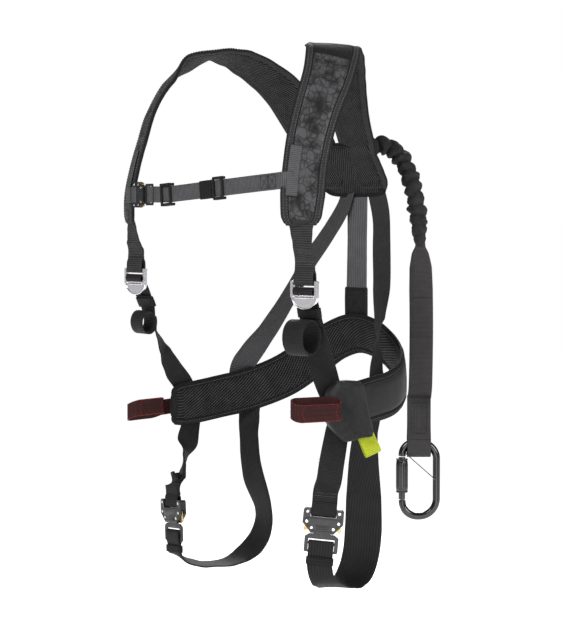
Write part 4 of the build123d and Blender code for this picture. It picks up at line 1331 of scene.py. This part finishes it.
POUCH = Place((219, -61, -549), 58)
STRAP_WAY = Place(POUCH.at(16, -15) / MM, 58, 23)
pouch_points = [(-36, 27), (-18, 45), (12, 45), (18, 40), (26, 10), (36, -30), (32, -35), (-2, -45),
    (-12, -42), (-37, -12)]
pouch_edge = smooth_outline(pouch_points, 72)
levels = [(1.0, 4.0, 0), (0.985, 8.0, 0), (0.94, 10.2, 0), (0.8, 10.8, 0), (0.5, 11.0, 0), (0.1, 11.0, 0)]
pouch = pillow("pouch_bag", POUCH, pouch_edge, levels, ["cloth"])
swell(pouch, 0.004, 4.0, 0.004)
for vertex in pouch.data.vertices:
    # soft folds that run down the bag and gather towards its hem
    local = vertex.co - POUCH.origin
    x, y, z = local.dot(POUCH.x) / MM, local.dot(POUCH.y) / MM, local.dot(POUCH.z) / MM
    fold = creases(x, y, 0.4)
    vertex.co += POUCH.z * (fold * MM * (1 if z > 0 else -0.5) * min(1.0, abs(z) / 6))
settle(pouch, "harness", "fabric_black", ["pouch_body"])

flap_rows = [(-19, 46, 13, 46), (-21, 36, 19, 39), (-20, 20, 23, 22), (-16, 2, 27, 0), (-10, -14, 31, -18),
    (-2, -28, 34.5, -31), (2, -38, 33, -37)]


def draped_flap():
    rows, columns = 66, 34
    verts, faces, uvs = [], [], []
    for layer in (1, 0):
        for i in range(rows + 1):
            f = i / rows * (len(flap_rows) - 1)
            k = min(int(f), len(flap_rows) - 2)
            left = Vector(flap_rows[k][:2]).lerp(Vector(flap_rows[k + 1][:2]), f - k)
            right = Vector(flap_rows[k][2:]).lerp(Vector(flap_rows[k + 1][2:]), f - k)
            for c in range(columns + 1):
                t = c / columns
                x, y = left.lerp(right, t)
                crown = 4.2 * sin(pi * t) ** 0.6
                fold = creases(x, y, 3.1)
                hem = 0.9 * max(0.0, 1 - abs(i - rows * 0.9) / 4)
                top = min(1.0, i / 9)
                out = 9.4 + (crown + fold * sin(pi * t)) * (0.5 + 0.5 * top) - hem
                edge = min(1.0, min(t, 1 - t) * 12, i / 2.0, (rows - i) / 2.0)
                verts.append(POUCH.at(x, y, out + (1.3 * edge if layer else -0.6)))
    width = columns + 1
    size = (rows + 1) * width
    for i in range(rows):
        for c in range(columns):
            quad = [i * width + c, (i + 1) * width + c, (i + 1) * width + c + 1, i * width + c + 1]
            faces.append(quad)
            faces.append([q + size for q in quad[::-1]])
    loop = [c for c in range(columns)] + [i * width + columns for i in range(rows)]
    loop += [rows * width + c for c in range(columns, 0, -1)] + [i * width for i in range(rows, 0, -1)]
    for a, b in zip(loop, loop[1:] + loop[:1]):
        faces.append([a, b, b + size, a + size])
    for face in faces:
        uvs += [((q % size % width) * 0.0025, (q % size // width) * 0.002) for q in face]
    return piece("pouch_cover", verts, faces, ["cloth"], None, uvs)


cover = draped_flap()
settle(cover, "harness", "fabric_black", ["pouch_flap"])
hem = []
for t in range(0, 13):
    f = t / 12
    hem.append((POUCH.at(1 + 32 * f, -33.5 - 0.5 * f, 11.8 + 4 * sin(pi * f) ** 0.6), POUCH.z))
settle(stitches("pouch_hem_stitching", [hem], "thread_grey", 2.4, 1.4, 0.35), "harness", "fabric_black")
gusset_levels = [(1.0, 9.6, 0), (0.97, 11.6, 0), (0.8, 13.2, 0), (0.45, 14.0, 0), (0.05, 14.2, 0)]
gusset_points = [(-33, 26), (-21, 43), (-16, 43), (-15, 30), (-17, 14), (-24, 12), (-32, 16)]
gusset = pillow("pouch_gusset", POUCH, smooth_outline(gusset_points, 48), gusset_levels, ["gusset"],
    [(1.0, -8.6, 0), (0.5, -8.6, 0), (0.05, -8.6, 0)])
settle(gusset, "harness", "fabric_black")

# stowed relief strap: a folded lime tape that comes out of the bag's lower edge
tab_path = [(18, 2.2), (-20, 2.2), (-34, 3.6), (-42, 5.3), (-48, 5.4)]
tab_path += [(-48 - 5.4 * sin(radians(a)), 5.4 * cos(radians(a))) for a in range(15, 181, 15)]
tab_path += [(-42, -5.3), (-34, -3.6), (-20, -2.2), (18, -2.2)]
tab = sweep("relief_tape", loop_strip(STRAP_WAY, tab_path, 25, 1.6), ["lime"])
settle(tab, "pouch_tab", "webbing_lime", ["pouch_tab"])


# ---------------------------------------------------------------- sewn lugs that hold the side loops
def lug(side, points, width, replaced=()):
    strip = strip_of([(*p, width, 2.6) for p in points])
    obj = sweep("side_loop_lug_" + side, strip, ["maroon"])
    settle(obj, "harness", "webbing_maroon", replaced)


lug("left", [(222, -94, -542, 72, 0), (216, -82, -543, 70, 0), (206, -66, -545, 72, 0),
    (200, -46, -546, 84, 0)], 25)
lug("right", [(-209, -50, -572, -88, 0), (-206, -38, -571, -84, 0), (-202, -28, -570, -88, 0),
    (-201, -12, -570, -90, 0)], 25)


# ---------------------------------------------------------------- hardware: CAD shapes with finer edges
def finish_node(name, material, bevel=0.35):
    obj = nodes[name]
    obj.data.materials.clear()
    obj.data.materials.append(M[material])
    weld = obj.modifiers.new("weld", "WELD")
    weld.merge_threshold = 1e-6
    flat = obj.modifiers.new("flat", "DECIMATE")
    flat.decimate_type = "DISSOLVE"
    flat.angle_limit = radians(1.0)
    edge = obj.modifiers.new("edge", "BEVEL")
    edge.width = bevel * MM
    edge.segments = 2
    edge.limit_method = "ANGLE"
    edge.angle_limit = radians(35)
    edge.harden_normals = False


for base, scale in (("leg_buckle_left", 1.0), ("leg_buckle_right", 1.0), ("chest_buckle", CHEST_SCALE)):
    finish_node(base + "_body", "steel", 0.9 * scale)
    finish_node(base + "_tongue", "steel", 0.5 * scale)
    finish_node(base + "_rivets", "chrome", 0.4 * scale)
    for end in "ab":
        finish_node(base + "_lever_" + end, "brass", 0.4 * scale)
for side in ("left", "right"):
    finish_node("adjuster_frame_" + side, "chrome", 0.45)
finish_node("chest_triglide", "plastic", 0.3)
finish_node("chest_slider", "plastic", 0.3)
finish_node("carabiner_body", "gloss", 0.25)
finish_node("carabiner_gate", "gloss", 0.4)
finish_node("carabiner_wire", "gloss", 0.12)


def buckle_trim(name, place, scale, body):
    """Raised front plate edge and a recessed thumb ridge; the domed rivet heads are not drawn here."""
    parts = []
    outline = [(26, 11.5), (-26, 11.5), (-26.5, -3), (-15.5, -15.5), (15.5, -15.5), (26.5, -3)]
    ring = []
    for a, b in zip(outline, outline[1:] + outline[:1]):
        for k in range(6):
            f = k / 6
            x, y = a[0] + (b[0] - a[0]) * f, a[1] + (b[1] - a[1]) * f
            if y > 1.5:
                y = 3.4
            ring.append((place.at(x * scale, y * scale, 5.5 * scale), place.z))
    parts.append(tube("edge", ring, 0.55 * scale * MM, "steel", 6, True))
    for k in range(3):
        y = -7.5 - 2.4 * k
        line = [(place.at(x * scale, y * scale, 5.45 * scale), place.z) for x in range(-11 + k, 12 - k, 2)]
        parts.append(tube("grip", line, 0.7 * scale * MM, "steel", 6))
    settle(join(name, parts), body, "steel_black")


for name, place, scale in (("leg_buckle_trim_left", LEG_LEFT, 1.0),
    ("leg_buckle_trim_right", LEG_RIGHT, 1.0), ("chest_buckle_trim", CHEST, CHEST_SCALE)):
    buckle_trim(name, place, scale, "harness")


# ---------------------------------------------------------------- locking sleeve of the carabiner
def turned(name, place, profile, material, flutes=0, depth=0.0):
    """A turned part about the line x = -27 of the carabiner. profile is a list of (height, radius)."""
    sides = 72
    verts, faces = [], []
    for y, r in profile:
        for k in range(sides):
            angle = 2 * pi * k / sides
            cut = depth * max(0.0, cos(flutes * angle)) ** 3 if flutes and r > 9 else 0.0
            verts.append(place.at(-27 + (r - cut) * cos(angle), y, (r - cut) * sin(angle)))
    count = len(profile)
    for i in range(count):
        j = (i + 1) % count
        for k in range(sides):
            n = (k + 1) % sides
            faces.append((i * sides + k, j * sides + k, j * sides + n, i * sides + n))
    return piece(name, verts, faces, [material])


barrel_profile = [(-19, 5.7), (-19, 8.6), (-18.2, 9.6), (-12, 9.9), (-10, 9.9), (8, 9.9), (24, 9.9),
    (26, 9.6), (30, 9.2), (31.5, 8.4), (31.5, 5.7)]
barrel = turned("carabiner_barrel", CLIP, barrel_profile, "gloss", 10, 0.8)
settle(barrel, "carabiner_sleeve", "steel_black", ["carabiner_sleeve"])
rings = [turned("ring", CLIP, [(y, 5.8), (y, 8.8), (y + 0.6, 9.7), (y + 1.9, 9.7), (y + 2.5, 8.8),
    (y + 2.5, 5.8)], "steel") for y in (-21, 31.5)]
settle(join("carabiner_barrel_rings", rings), "carabiner_sleeve", "steel_chrome")


# ---------------------------------------------------------------- floor and light
def add_floor():
    bpy.ops.mesh.primitive_plane_add(size=60, location=(0, 0, -1.25))
    floor = bpy.context.object
    floor.name = "floor"
    material = bpy.data.materials.new("floor")
    material.use_nodes = True
    material.node_tree.nodes["Principled BSDF"].inputs["Base Color"].default_value = (0.9, 0.9, 0.9, 1)
    material.node_tree.nodes["Principled BSDF"].inputs["Roughness"].default_value = 0.9
    material.node_tree.nodes["Principled BSDF"].inputs["Emission Color"].default_value = (1, 1, 1, 1)
    material.node_tree.nodes["Principled BSDF"].inputs["Emission Strength"].default_value = 0.78
    floor.data.materials.append(material)


def add_light(name, place, target, size, power):
    data = bpy.data.lights.new(name, "AREA")
    data.size = size
    data.energy = power
    light = bpy.data.objects.new(name, data)
    bpy.context.collection.objects.link(light)
    light.location = place
    light.rotation_mode = "QUATERNION"
    light.rotation_quaternion = (Vector(target) - Vector(place)).to_track_quat("-Z", "Y")


add_floor()
centre = (0, 0.03, -0.42)
add_light("key", (0.4, -2.6, 1.4), centre, 1.4, 95)
add_light("side", (2.9, 0.3, 0.6), centre, 1.6, 70)
add_light("rim", (-1.8, 2.2, 1.2), centre, 1.4, 80)
add_light("fill", (2.2, -2.0, -0.7), centre, 1.8, 25)
world = bpy.data.worlds.new("studio")
world.use_nodes = True
world.node_tree.nodes["Background"].inputs[0].default_value = (1, 1, 1, 1)
lit, seen = 0.24, 1.0
tree = world.node_tree
ray = tree.nodes.new("ShaderNodeLightPath")
strength = tree.nodes.new("ShaderNodeMapRange")
tree.links.new(ray.outputs["Is Camera Ray"], strength.inputs[0])
strength.inputs[3].default_value = lit
strength.inputs[4].default_value = seen
tree.links.new(strength.outputs[0], tree.nodes["Background"].inputs[1])
bpy.context.scene.world = world
bpy.context.scene.view_settings.view_transform = "Standard"
